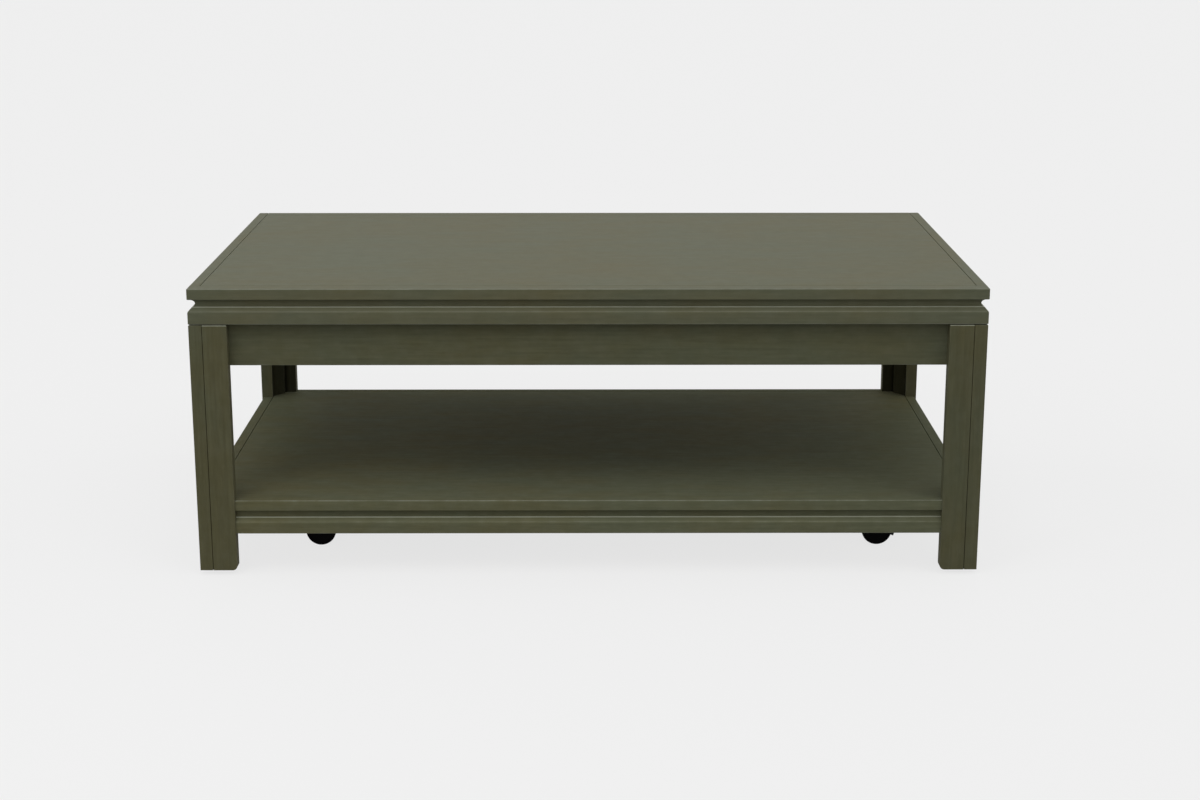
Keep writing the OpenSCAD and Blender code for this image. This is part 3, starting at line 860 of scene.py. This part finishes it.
@dataclass
class Aprons:
    """The four apron boards under the top, and the braces across their corners."""

    shop: Paintshop
    arris: float = 0.0012
    brace_length: float = 0.075
    brace_thickness: float = 0.022
    brace_arris: float = 0.0015

    def boards(self) -> None:
        """Makes the aprons."""
        for side in Side:
            node = f"apron_{side.name.lower()}"
            grain = Grain.LENGTH if side.value[1] else Grain.WIDTH
            piece = saw(f"{node}_made", *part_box(node), self.shop.satin[grain])
            ease(piece, self.arris)
            fit(piece, node)

    def braces(self) -> None:
        """Makes the braces, each sawn at both ends to lie against two aprons."""
        low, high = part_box("corner_braces")
        back = self.brace_length / 2 - self.brace_thickness / math.sqrt(8)
        middle = Vector((high.x - back, high.y - back, (low.z + high.z) / 2))
        half = Vector((self.brace_length, self.brace_thickness / 2, (high.z - low.z) / 2))
        wood = self.shop.wood[Grain.LENGTH]
        brace = saw("corner_braces_made", middle - half, middle + half, wood, turned=-45)
        cut_off(brace, (high.x, 0, 0), (1, 0, 0))
        cut_off(brace, (0, high.y, 0), (0, 1, 0))
        ease(brace, self.brace_arris)
        mirrors = [Matrix.Diagonal((x, y, 1, 1)) for x, y in ((-1, 1), (1, -1), (-1, -1))]
        others = [copy_of(brace, "brace", mirror) for mirror in mirrors]
        fit(join([brace, *others]), "corner_braces")


@dataclass
class CornerLegs:
    """Four legs, each of a face board, a side board and a chamfered block in the corner."""

    shop: Paintshop
    arris: float = 0.0010
    gap: float = 0.0007
    top_gap: float = 0.0013
    top_round: float = 0.0014
    foot_round: float = 0.0070
    joint_round: float = 0.0005
    block_flat: float = 0.0120

    def make(self) -> None:
        """Makes the front left leg's three pieces, and copies them to the other corners."""
        for part, build in {
            "face_board": self.face_board,
            "side_board": self.side_board,
            "corner_block": self.corner_block,
        }.items():
            first = build(*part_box(f"leg_fl_{part}"))
            for corner, (x, y) in CORNERS.items():
                node = f"leg_{corner}_{part}"
                mirror = Matrix.Diagonal((-x, -y, 1, 1))
                fit(copy_of(first, f"{node}_made", mirror), node)
            bpy.data.objects.remove(first)

    def face_board(self, low: Vector, high: Vector) -> Piece:
        """Saws the board that looks to the front, a hair off its neighbour."""
        low.x += self.gap
        high.z -= self.top_gap
        piece = saw("face_board", low, high, self.shop.satin[Grain.UPRIGHT])
        self.round_ends(piece, low, high, 1, low.x)
        self.painted_shade(piece, Vector((0, 1, 0)))
        return piece

    def side_board(self, low: Vector, high: Vector) -> Piece:
        """Saws the board that looks to the side."""
        high.z -= self.top_gap
        piece = saw("side_board", low, high, self.shop.satin[Grain.UPRIGHT])
        self.round_ends(piece, low, high, 0, high.x)
        self.painted_shade(piece, Vector((1, 0, 0)))
        return piece

    def round_ends(self, piece: Piece, low: Vector, high: Vector, axis: int, joint: float) -> None:
        """Rounds a board's free lower corner, its upper arris and the joint, and eases the rest.

        Args:
            piece: the board.
            low: its lowest corner.
            high: its highest corner.
            axis: the axis that its face looks along.
            joint: the place along X of its arris at the joint of the two boards.
        """
        with shaping(piece, "EDGE"):
            pick_edges(piece, lambda p: near(p[1 - axis], high[1 - axis]) and near(p.z, low.z))
            round_edges(self.foot_round, 8, FACES)
            # The upper arris takes the painted highlight: a bright line that stands in for the
            # light it catches.
            pick_edges(piece, lambda p: near(p[axis], low[axis]) and near(p.z, high.z))
            round_edges(self.top_round, material=PAINTED_HIGHLIGHT)
            pick_edges(piece, lambda p: near(p.x, joint) and near(p.y, low.y))
            round_edges(self.joint_round, material=FACES)
        ease(piece, self.arris)

    def painted_shade(self, piece: Piece, inward: Vector) -> None:
        """Gives a board's inner face the dark coat: painted shade for the shadow in the leg's
        corner.
        """
        piece.data.materials.append(self.shop.painted_shade[FACES])
        with shaping(piece, "FACE"):
            pick_faces(piece, lambda middle, normal: normal.dot(inward) > FACING)
            piece.active_material_index = len(piece.data.materials) - 1
            bpy.ops.object.material_slot_assign()

    def corner_block(self, low: Vector, high: Vector) -> Piece:
        """Saws the block, with its inner corner taken off, all in the dark coat of painted shade
        for the leg's corner.
        """
        piece = saw("corner_block", low, high, self.shop.painted_shade)
        edge = Vector((high.x, low.y + self.block_flat, 0))
        slant = Vector((low.x, high.y, 0)) - edge
        cut_off(piece, edge, (slant.y, -slant.x, 0))
        ease(piece, self.arris)
        return piece


@dataclass(frozen=True)
class Fixing:
    """The place of a screw: the seat of its head, and the way that it goes in."""

    seat: Vector
    way: Vector = Vector(UP)

    def matrix(self) -> Matrix:
        """Gives the matrix that takes an upright screw there."""
        turned = self.way.to_track_quat("Z", "Y").to_matrix().to_4x4()
        return Matrix.Translation(self.seat) @ turned


@dataclass
class ScrewKit:
    """The screws that hold the table together, with their places worked out from its boards."""

    shop: Paintshop
    radius: float = 0.0020
    length: float = 0.033
    caster_length: float = 0.016
    head_radius: float = 0.0040
    head_height: float = 0.0024
    head_gap: float = 0.0003
    tip: float = 0.9
    dome: float = 0.0016
    slot_width: float = 0.0009
    slot_length: float = 0.0046
    slot_depth: float = 0.0013
    seat_depth: float = 0.018
    apron_pitch: float = 0.036
    inner: float = 0.110
    outer: float = 0.480
    across: float = 0.240
    caster_pitch: float = 0.031

    def screw(self, length: float) -> Piece:
        """Makes one upright screw with its seat at the origin and a cross recess in its head."""
        zinc, down = self.shop.zinc, -self.head_height
        head = turn("screw", (0, 0, down / 2), self.head_radius, -down, UP, zinc, sides=24)
        with shaping(head, "EDGE"):
            pick_edges(head, lambda p: near(p.z, down))
            round_edges(self.dome, 4)
        half = Vector((self.slot_length / 2, self.slot_width / 2, 0))
        up = Vector((0, 0, down + self.slot_depth))
        under = Vector((0, 0, 2 * down))
        drill(head, [saw("bit", under - arm, up + arm, zinc) for arm in (half, half.yxz)])
        shank = turn("shank", (0, 0, length / 2), self.radius, length, UP, zinc, sides=16)
        with shaping(shank, "EDGE"):
            pick_edges(shank, lambda p: near(p.z, length))
            round_edges(self.radius * self.tip, 1)
        return join([head, shank])

    def drive(self, node: str, fixings: list[Fixing], length: float) -> None:
        """Copies a screw to each place of a node, and puts them in the node's place."""
        first = self.screw(length)
        screws = [copy_of(first, f"{node}_made", place.matrix()) for place in fixings]
        bpy.data.objects.remove(first)
        fit(join(screws), node)

    def bits(self, fixings: list[Fixing]) -> list[Piece]:
        """Makes the bits that drill the rooms for the heads of some screws."""
        reach = self.length
        wide = self.head_radius + self.head_gap
        return [
            turn("bit", place.seat - place.way * reach / 2, wide, reach, place.way, self.shop.zinc)
            for place in fixings
        ]

    def aprons(self) -> list[Fixing]:
        """Gives the places of the screws through the aprons into the leg boards."""
        face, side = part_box("leg_rr_face_board"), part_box("leg_rr_side_board")
        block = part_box("leg_rr_corner_block")
        back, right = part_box("apron_back"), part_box("apron_right")
        x, y = (face[0].x + block[0].x) / 2, (side[0].y + block[0].y) / 2
        middle = (back[0].z + back[1].z) / 2
        found = []
        for east, north in CORNERS.values():
            for z in (middle - self.apron_pitch / 2, middle + self.apron_pitch / 2):
                behind = Vector((east * x, north * back[0].y, z))
                beside = Vector((east * right[0].x, north * y, z))
                found.append(Fixing(behind, Vector((0, north, 0))))
                found.append(Fixing(beside, Vector((east, 0, 0))))
        return found

    def lengthwise(self, back_one: str, north: int) -> list[Fixing]:
        """Gives the places along a long batten, from the node of the one at the back."""
        low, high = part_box(back_one)
        y = north * (low.y + high.y) / 2
        places = (-self.outer, -self.inner, self.inner, self.outer)
        return self.row([(x, y) for x in places], high.z - self.seat_depth)

    def crosswise(self, x: float, top: float) -> list[Fixing]:
        """Gives the places along a timber that runs from front to back, with its top at a level."""
        return self.row([(x, -self.across), (x, self.across)], top - self.seat_depth)

    def shelf_legs(self, north: int) -> list[Fixing]:
        """Gives the places through a long batten of the shelf into the legs."""
        low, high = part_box("shelf_batten_back")
        x = (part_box("leg_rr_face_board")[0].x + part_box("leg_rr_corner_block")[0].x) / 2
        y, z = high.y - self.seat_depth, (low.z + high.z) / 2
        return [Fixing(Vector((s * x, north * y, z)), Vector((0, north, 0))) for s in (-1, 1)]

    def rail(self, east: int) -> list[Fixing]:
        """Gives the places along a caster rail."""
        low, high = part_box("caster_rail_right")
        return self.crosswise(east * (low.x + high.x) / 2, high.z)

    def plates(self) -> list[Fixing]:
        """Gives the places in the caster plates."""
        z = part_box("caster_rail_right")[0].z - CASTER_PLATE
        half = self.caster_pitch / 2
        found = []
        for corner in CORNERS:
            low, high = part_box(f"caster_{corner}_plate")
            x, y = (low.x + high.x) / 2, (low.y + high.y) / 2
            found += self.row([(x + i * half, y + j * half) for i, j in CORNERS.values()], z)
        return found

    def row(self, spots: list[tuple[float, float]], z: float) -> list[Fixing]:
        """Gives upright fixings at some spots of a level."""
        return [Fixing(Vector((x, y, z))) for x, y in spots]


@dataclass
class Battens:
    """The bare timbers under the top and the shelf, with rooms for the screws' heads."""

    shop: Paintshop
    screws: ScrewKit
    arris: float = 0.0008
    cross: float = 0.200
    short_width: float = 0.060

    def lay(self, node: str, grain: Grain, fixings: list[Fixing]) -> None:
        """Makes one timber."""
        piece = self.timber(node, *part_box(node), grain, fixings)
        fit(piece, node)

    def timber(
        self, node: str, low: Vector, high: Vector, grain: Grain, fixings: list[Fixing]
    ) -> Piece:
        """Saws, eases and drills one timber."""
        piece = saw(f"{node}_made", low, high, self.shop.wood[grain])
        ease(piece, self.arris)
        drill(piece, self.screws.bits(fixings))
        return piece

    def short_ones(self) -> list[Fixing]:
        """Makes the four short battens of the top.

        Returns:
            The places of their screws.
        """
        node = "top_short_battens"
        low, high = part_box(node)
        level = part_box("top_panel")[0].z
        half = self.short_width / 2
        timbers, found = [], []
        for x in (low.x + half, -self.cross, self.cross, high.x - half):
            fixings = self.screws.crosswise(x, level)
            ends = (x - half, low.y, low.z), (x + half, high.y, high.z)
            timbers.append(self.timber(node, *map(Vector, ends), Grain.WIDTH, fixings))
            found += fixings
        fit(join(timbers), node)
        return found


@dataclass
class TwinWheelCasters:
    """Four twin-wheel casters, two of them braked. One of each piece is made and copied."""

    shop: Paintshop
    shelf: float = 0.0669
    plate: float = CASTER_PLATE
    trail: float = 0.0165
    radius: float = 0.02425
    wheel_width: float = 0.0162
    web: float = 0.014
    side_gap: float = 0.0008
    hood_gap: float = 0.0010
    hood: float = 0.0026
    hood_drop: float = 6
    axle: float = 0.00255
    axle_boss: float = 0.009
    swivel_boss: float = 0.0063
    race: float = 0.010
    race_height: float = 0.003
    swivel_gap: float = 0.0003
    kingpin: float = 0.0035
    kingpin_length: float = 0.028
    plate_round: float = 0.005
    rim: float = 0.0030
    dish: float = 0.0008
    hub: float = 0.006
    disc: float = 0.003
    shoulder: float = 0.0018
    lever: float = 0.034
    lever_tip: float = 22
    pedal: float = 0.0026
    pedal_head: float = 4
    rib: float = 0.0007
    rib_share: float = 0.8
    rib_angles: tuple[float, ...] = (-18, -13, -8, -3)
    pivot: float = 30
    hood_end: float = 10
    barrel: float = 0.0028
    trunnion: float = 0.0016
    ear: float = 0.0036
    lever_gap: float = 0.0003
    soft: float = 0.0005
    facet: float = 5

    @property
    def inner(self) -> float:
        """The hood's inner radius."""
        return self.radius + self.hood_gap

    @property
    def outer(self) -> float:
        """The hood's outer radius."""
        return self.inner + self.hood

    @property
    def wheel_in(self) -> float:
        """The distance from the caster's middle to a wheel's inner face."""
        return self.web / 2 + self.side_gap

    def spot(self, radius: float, angle: float) -> Vector:
        """Gives the place at a radius from the axle and an angle above its level."""
        turn_to = math.radians(angle)
        return Vector(
            (self.trail + radius * math.cos(turn_to), 0, self.radius + radius * math.sin(turn_to))
        )

    def pivot_spot(self) -> Vector:
        """Gives the brake lever's pivot."""
        return self.spot(self.inner + self.barrel, self.pivot)

    def on_tread(self, point: Vector) -> bool:
        """Tells whether a point lies on a wheel's tread."""
        return (point - self.spot(0, 0)).xz.length > self.radius - TOUCH

    def shell(
        self,
        name: str,
        radii: tuple[float, float],
        width: float,
        angles: tuple[float, float],
        middle: float = 0,
    ) -> Piece:
        """Spins a bar with rounded corners round the axle.

        Args:
            name: the piece's name.
            radii: the bar's inner and outer distance from the axle.
            width: its width along the axle.
            angles: its first and last angle in degrees.
            middle: the place of its middle along the axle.

        Returns:
            The closed shell.
        """
        start, end = angles
        at = self.spot(sum(radii) / 2, start) + Vector((0, middle, 0))
        bpy.ops.object.select_all(action="DESELECT")
        tilt = (0, -math.radians(start), 0)
        bpy.ops.mesh.primitive_plane_add(size=1, location=at, rotation=tilt)
        bpy.context.object.scale = (radii[1] - radii[0], width, 1)
        piece = take_new(name, self.shop.nylon)
        axle, sweep = self.spot(0, 0), math.radians(end - start)
        steps = max(4, round(abs(end - start) / self.facet))
        with shaping(piece):
            bpy.ops.mesh.select_all(action="SELECT")
            bpy.ops.mesh.bevel(offset=self.soft, segments=3, affect="VERTICES")
            bpy.ops.mesh.select_all(action="SELECT")
            bpy.ops.mesh.spin(steps=steps, angle=sweep, center=axle, axis=BACKWARD)
            bpy.ops.mesh.select_all(action="SELECT")
            bpy.ops.mesh.normals_make_consistent(inside=False)
        return piece

    def rod(
        self, radius: float, length: float, middle: Place, way: Place = BACKWARD, sides: int = 32
    ) -> Piece:
        """Turns a nylon rod with soft ends."""
        piece = turn("rod", middle, radius, length, way, self.shop.nylon, sides)
        ease(piece, self.soft)
        return piece

    def housing(self, braked: bool) -> Piece:
        """Makes a housing: the hood, the web between the wheels, the bosses and a brake's ears."""
        start = self.pivot + self.hood_end if braked else -self.hood_drop
        end = 180 + self.hood_drop
        width = 2 * (self.wheel_in + self.wheel_width)
        top = self.shelf - self.plate - self.race_height - self.swivel_gap
        middle = (0, 0, (top + self.radius) / 2)
        parts = [
            self.shell("housing", (self.inner, self.outer), width, (start, end)),
            self.shell("web", (self.axle, self.outer - self.hood / 2), self.web, (start, end)),
            self.rod(self.axle_boss, self.web, self.spot(0, 0)),
            self.rod(self.swivel_boss, top - self.radius, middle, UP),
        ]
        if braked:
            away = self.lever / 2 + self.lever_gap + self.ear / 2
            radii, arch = (self.inner, self.outer), (self.pivot, start + 1)
            for y in (-away, away):
                parts.append(self.rod(self.barrel, self.ear, self.pivot_spot() + Vector((0, y, 0))))
                parts.append(self.shell("ear", radii, self.ear, arch, y))
        return join(parts)

    def wheel(self) -> Piece:
        """Makes the back wheel: a cup open to the web, with a blind hub and a dished face."""
        low, high = self.wheel_in, self.wheel_in + self.wheel_width
        at = self.spot(0, 0) + Vector((0, (low + high) / 2, 0))
        nylon = self.shop.wheel
        piece = turn("wheel", at, self.radius, self.wheel_width, BACKWARD, nylon, sides=72)
        deep = self.wheel_width - self.disc
        face = self.radius - self.rim - self.dish
        with shaping(piece, "FACE"):
            pick_faces(piece, lambda middle, normal: normal.y > FACING)
            for thickness, depth in (
                (self.rim, 0),
                (self.dish, -self.dish),
                (face - self.hub - self.dish, 0),
                (self.dish, self.dish),
                (self.hub / 3, 0),
                (self.dish / 2, -self.dish / 2),
            ):
                bpy.ops.mesh.inset(thickness=thickness, depth=depth)
            pick_faces(piece, lambda middle, normal: normal.y < -FACING)
            for thickness, depth in (
                (self.rim + self.dish, deep),
                (face - self.hub, -deep),
                (self.hub - self.axle, deep),
            ):
                bpy.ops.mesh.inset(thickness=thickness)
                bpy.ops.mesh.extrude_region_move(TRANSFORM_OT_translate={"value": (0, depth, 0)})
        with shaping(piece, "EDGE"):
            pick_edges(piece, lambda p: self.on_tread(p) and (near(p.y, low) or near(p.y, high)))
            round_edges(self.shoulder, 4)
        return piece

    def brake_lever(self) -> Piece:
        """Makes a brake lever: a curved plate with a ribbed pedal, a barrel and two trunnions."""
        pins = self.lever + 2 * (self.lever_gap + self.ear)
        arch = (-self.lever_tip, self.pivot)
        tread = self.outer + self.pedal
        pad = (-self.lever_tip, self.pedal_head)
        parts = [
            self.shell("brake_lever", (self.inner, self.outer), self.lever, arch),
            self.shell("pedal", (self.outer - 2 * self.soft, tread), self.lever, pad),
            self.rod(self.barrel, self.lever, self.pivot_spot()),
            self.rod(self.trunnion, pins, self.pivot_spot(), sides=20),
        ]
        for angle in self.rib_angles:
            at = self.spot(tread, angle)
            parts.append(self.rod(self.rib, self.lever * self.rib_share, at, sides=12))
        return join(parts)

    def plate_piece(self) -> Piece:
        """Makes a plate with rounded corners, its pressed race and the kingpin."""
        low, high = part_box("caster_fl_plate")
        half = (high.x - low.x) / 2
        under = self.shelf - self.plate
        zinc, steel = self.shop.zinc, self.shop.steel
        piece = saw("plate", (-half, -half, under), (half, half, self.shelf), zinc)
        with shaping(piece, "EDGE"):
            pick_spans(piece, lambda one, other: not near(one.z, other.z))
            round_edges(self.plate_round, 8)
        ease(piece, self.soft / 2)
        middle = (0, 0, under - self.race_height / 2)
        race = turn("race", middle, self.race, self.race_height, UP, zinc, sides=48)
        ease(race, self.soft * 2)
        end = under - self.kingpin_length
        pin = turn("kingpin", (0, 0, (end + under) / 2), self.kingpin, under - end, UP, steel)
        return join([piece, race, pin])

    def make(self) -> None:
        """Makes one of each piece, and copies them to the four casters."""
        plate, wheel, lever = self.plate_piece(), self.wheel(), self.brake_lever()
        housings = {braked: self.housing(braked) for braked in (False, True)}
        for corner in CORNERS:
            name = f"caster_{corner}"
            low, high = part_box(f"{name}_plate")
            place = Matrix.Translation(((low.x + high.x) / 2, (low.y + high.y) / 2, 0))
            front = place @ Matrix.Diagonal((1, -1, 1, 1))
            braked = f"{name}_brake_lever" in frame["nodes"]
            pieces = {
                "plate": (plate, place, Slot.ZINC),
                "housing": (housings[braked], place, Slot.NYLON),
                "wheel_back": (wheel, place, Slot.WHEEL),
                "wheel_front": (wheel, front, Slot.WHEEL),
            }
            if braked:
                pieces["brake_lever"] = (lever, place, Slot.NYLON)
            for part, (first, matrix, slot) in pieces.items():
                node = f"{name}_{part}"
                fit(copy_of(first, f"{node}_made", matrix), node)
            axle = frame["nodes"][f"{name}_axle"]
            axle.data.materials.clear()
            axle.data.materials.append(self.shop.steel[FACES])
        for first in (plate, wheel, lever, *housings.values()):
            bpy.data.objects.remove(first)


# Studio


def hang_lamp(name: str, lamp: bpy.types.Light, place: Iterable[float], away: Vector) -> Piece:
    """Hangs a lamp at a place.

    Args:
        name: the lamp's name.
        lamp: what shines.
        place: where it hangs.
        away: the way from what it lights to the lamp.

    Returns:
        The lamp's object.
    """
    hung = bpy.data.objects.new(name, lamp)
    hung.rotation_euler = away.to_track_quat("Z", "Y").to_euler()
    hung.location = place
    bpy.context.scene.collection.objects.link(hung)
    return hung


@dataclass(frozen=True)
class SoftSun:
    """A wide, soft lamp far away. A fill isn't seen in gloss, as light from all round isn't."""

    azimuth: float
    elevation: float
    strength: float
    wide: float
    fill: bool = False

    def hang(self, name: str) -> None:
        """Hangs the lamp. An azimuth of 0 is in front of the table, and 90 to its right."""
        lamp = bpy.data.lights.new(name, "SUN")
        lamp.energy = self.strength
        lamp.angle = math.radians(self.wide)
        a, e = math.radians(self.azimuth), math.radians(self.elevation)
        away = Vector((math.sin(a) * math.cos(e), -math.cos(a) * math.cos(e), math.sin(e)))
        hang_lamp(name, lamp, away * SUN_AWAY, away).visible_glossy = not self.fill


@dataclass(frozen=True)
class Softbox:
    """A square softbox that looks at a point of the table."""

    place: Place
    target: Place
    width: float
    power: float

    def hang(self, name: str) -> None:
        """Hangs the softbox."""
        lamp = bpy.data.lights.new(name, "AREA")
        lamp.energy = self.power
        lamp.size = self.width
        hang_lamp(name, lamp, self.place, Vector(self.place) - Vector(self.target))


@dataclass
class Studio:
    """A pale floor, a soft even light and a camera where the photographer stood."""

    pale: float = 0.863
    ambient: float = 0.37
    bounce: float = 0.36
    glow: float = 0.87
    level: float = 0.90
    floor_size: float = 120
    key: Softbox = Softbox((-1.6, -2.2, 2.5), (0.0, 0.0, 0.25), 1.2, 16.5)
    suns: tuple = (
        SoftSun(45, 46, 0.28, 24),
        SoftSun(0, 80, 0.72, 50),
        SoftSun(0, 24, 0.37, 30, fill=True),
        SoftSun(-90, 14, 0.85, 50, fill=True),
        SoftSun(90, 14, 0.85, 50, fill=True),
        SoftSun(180, 18, 0.3, 50, fill=True),
    )
    camera_place: Place = (0.0070, -3.3988, 1.0726)
    camera_tilt: float = 14.54
    camera_turn: float = -0.20
    lens: float = 61.4

    def seen(self, tree: bpy.types.NodeTree) -> Socket:
        """Gives 1 for rays of the camera, of gloss and of glass, and 0 for those that light."""
        path = tree.nodes.new("ShaderNodeLightPath")
        total = path.outputs["Is Camera Ray"]
        for name in ("Is Glossy Ray", "Is Transmission Ray"):
            either = tree.nodes.new("ShaderNodeMath")
            either.operation = "MAXIMUM"
            tree.links.new(total, either.inputs[0])
            tree.links.new(path.outputs[name], either.inputs[1])
            total = either.outputs[0]
        return total

    def light(self) -> None:
        """Lights the room."""
        world = bpy.data.worlds.new("studio")
        bpy.context.scene.world = world
        world.use_nodes = True
        tree = world.node_tree
        share = tree.nodes.new("ShaderNodeMix")
        tree.links.new(self.seen(tree), share.inputs[0])
        share.inputs[2].default_value = self.ambient
        share.inputs[3].default_value = self.pale
        tree.links.new(share.outputs[0], tree.nodes["Background"].inputs["Color"])
        self.key.hang("key softbox")
        for number, sun in enumerate(self.suns):
            sun.hang(f"soft sun {number + 1}")

    def lay_floor(self) -> None:
        """Lays the floor, which isn't seen from below."""
        bpy.ops.object.select_all(action="DESELECT")
        bpy.ops.mesh.primitive_plane_add(size=self.floor_size)
        floor = bpy.context.object
        floor.name = "floor"
        made = Recipe("pale floor")
        tree = made.tree
        seen = self.seen(tree)
        matt_seen = self.pale * (1 - self.glow) / self.level
        matt_level = made.node("Mix", {0: seen, 2: self.bounce, 3: matt_seen}).outputs[0]
        matt = made.node("BsdfDiffuse", {"Color": matt_level})
        lit_level = made.node("Mix", {0: seen, 2: 0.0, 3: self.pale * self.glow}).outputs[0]
        lit = made.node("Emission", {"Color": lit_level})
        top = made.node("AddShader", {0: matt.outputs[0], 1: lit.outputs[0]})
        clear = made.node("BsdfTransparent", {})
        below = made.node("NewGeometry", {}).outputs["Backfacing"]
        mix = made.node("MixShader", {0: below, 1: top.outputs[0], 2: clear.outputs[0]})
        tree.links.new(mix.outputs[0], tree.nodes["Material Output"].inputs["Surface"])
        floor.data.materials.append(made.material)

    def set_camera(self) -> None:
        """Sets the camera up."""
        view = bpy.data.cameras.new("camera")
        view.lens = self.lens
        camera = bpy.data.objects.new("camera", view)
        camera.location = self.camera_place
        tilt = math.radians(90 - self.camera_tilt)
        camera.rotation_euler = (tilt, 0, math.radians(self.camera_turn))
        bpy.context.scene.collection.objects.link(camera)
        bpy.context.scene.camera = camera
        bpy.context.scene.view_settings.view_transform = "Standard"


def main() -> None:
    """Sets up the studio and builds the table piece by piece."""
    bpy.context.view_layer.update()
    studio = Studio()
    studio.set_camera()
    studio.light()
    studio.lay_floor()
    shop = Paintshop()
    left, right, front, back = Side.LEFT, Side.RIGHT, Side.FRONT, Side.BACK

    top = MouldedSlab("top", shop.polished, Moulding(0.055))
    top.board("panel", Grain.LENGTH, [left, right], [front, back], [])
    top.board("edge_front", Grain.LENGTH, [], [back], [front, left, right])
    top.board("edge_back", Grain.LENGTH, [left, right], [front], [back])
    top.board("edge_left", Grain.WIDTH, [right], [front], [left, back])
    top.board("edge_right", Grain.WIDTH, [left], [front], [right, back])

    shelf = MouldedSlab("shelf", shop.dull, Moulding(0.054))
    shelf.board("panel", Grain.LENGTH, [left, right], [front, back], [])
    shelf.board("edge_front", Grain.LENGTH, [], [back], [front])
    shelf.board("edge_back", Grain.LENGTH, [], [front], [back])
    shelf.board("edge_left", Grain.WIDTH, [right], [], [left])
    shelf.board("edge_right", Grain.WIDTH, [left], [], [right])

    aprons = Aprons(shop)
    aprons.boards()
    aprons.braces()
    CornerLegs(shop).make()

    screws = ScrewKit(shop)
    battens = Battens(shop, screws)
    top_screws = battens.short_ones()
    shelf_screws = []
    for name, north in (("front", -1), ("back", 1)):
        fixings = screws.lengthwise("top_batten_back", north)
        battens.lay(f"top_batten_{name}", Grain.LENGTH, fixings)
        top_screws += fixings
        fixings = screws.lengthwise("shelf_batten_back", north) + screws.shelf_legs(north)
        battens.lay(f"shelf_batten_{name}", Grain.LENGTH, fixings)
        shelf_screws += fixings
    for name, east in (("left", -1), ("right", 1)):
        battens.lay(f"caster_rail_{name}", Grain.WIDTH, screws.rail(east))
        shelf_screws += screws.rail(east)
    screws.drive("apron_screws", screws.aprons(), screws.length)
    screws.drive("top_screws", top_screws, screws.length)
    screws.drive("shelf_screws", shelf_screws, screws.length)
    screws.drive("caster_screws", screws.plates(), screws.caster_length)

    TwinWheelCasters(shop).make()


if __name__ == "__main__":
    logging.basicConfig(level=logging.INFO, format="%(name)s: %(message)s")
    main()
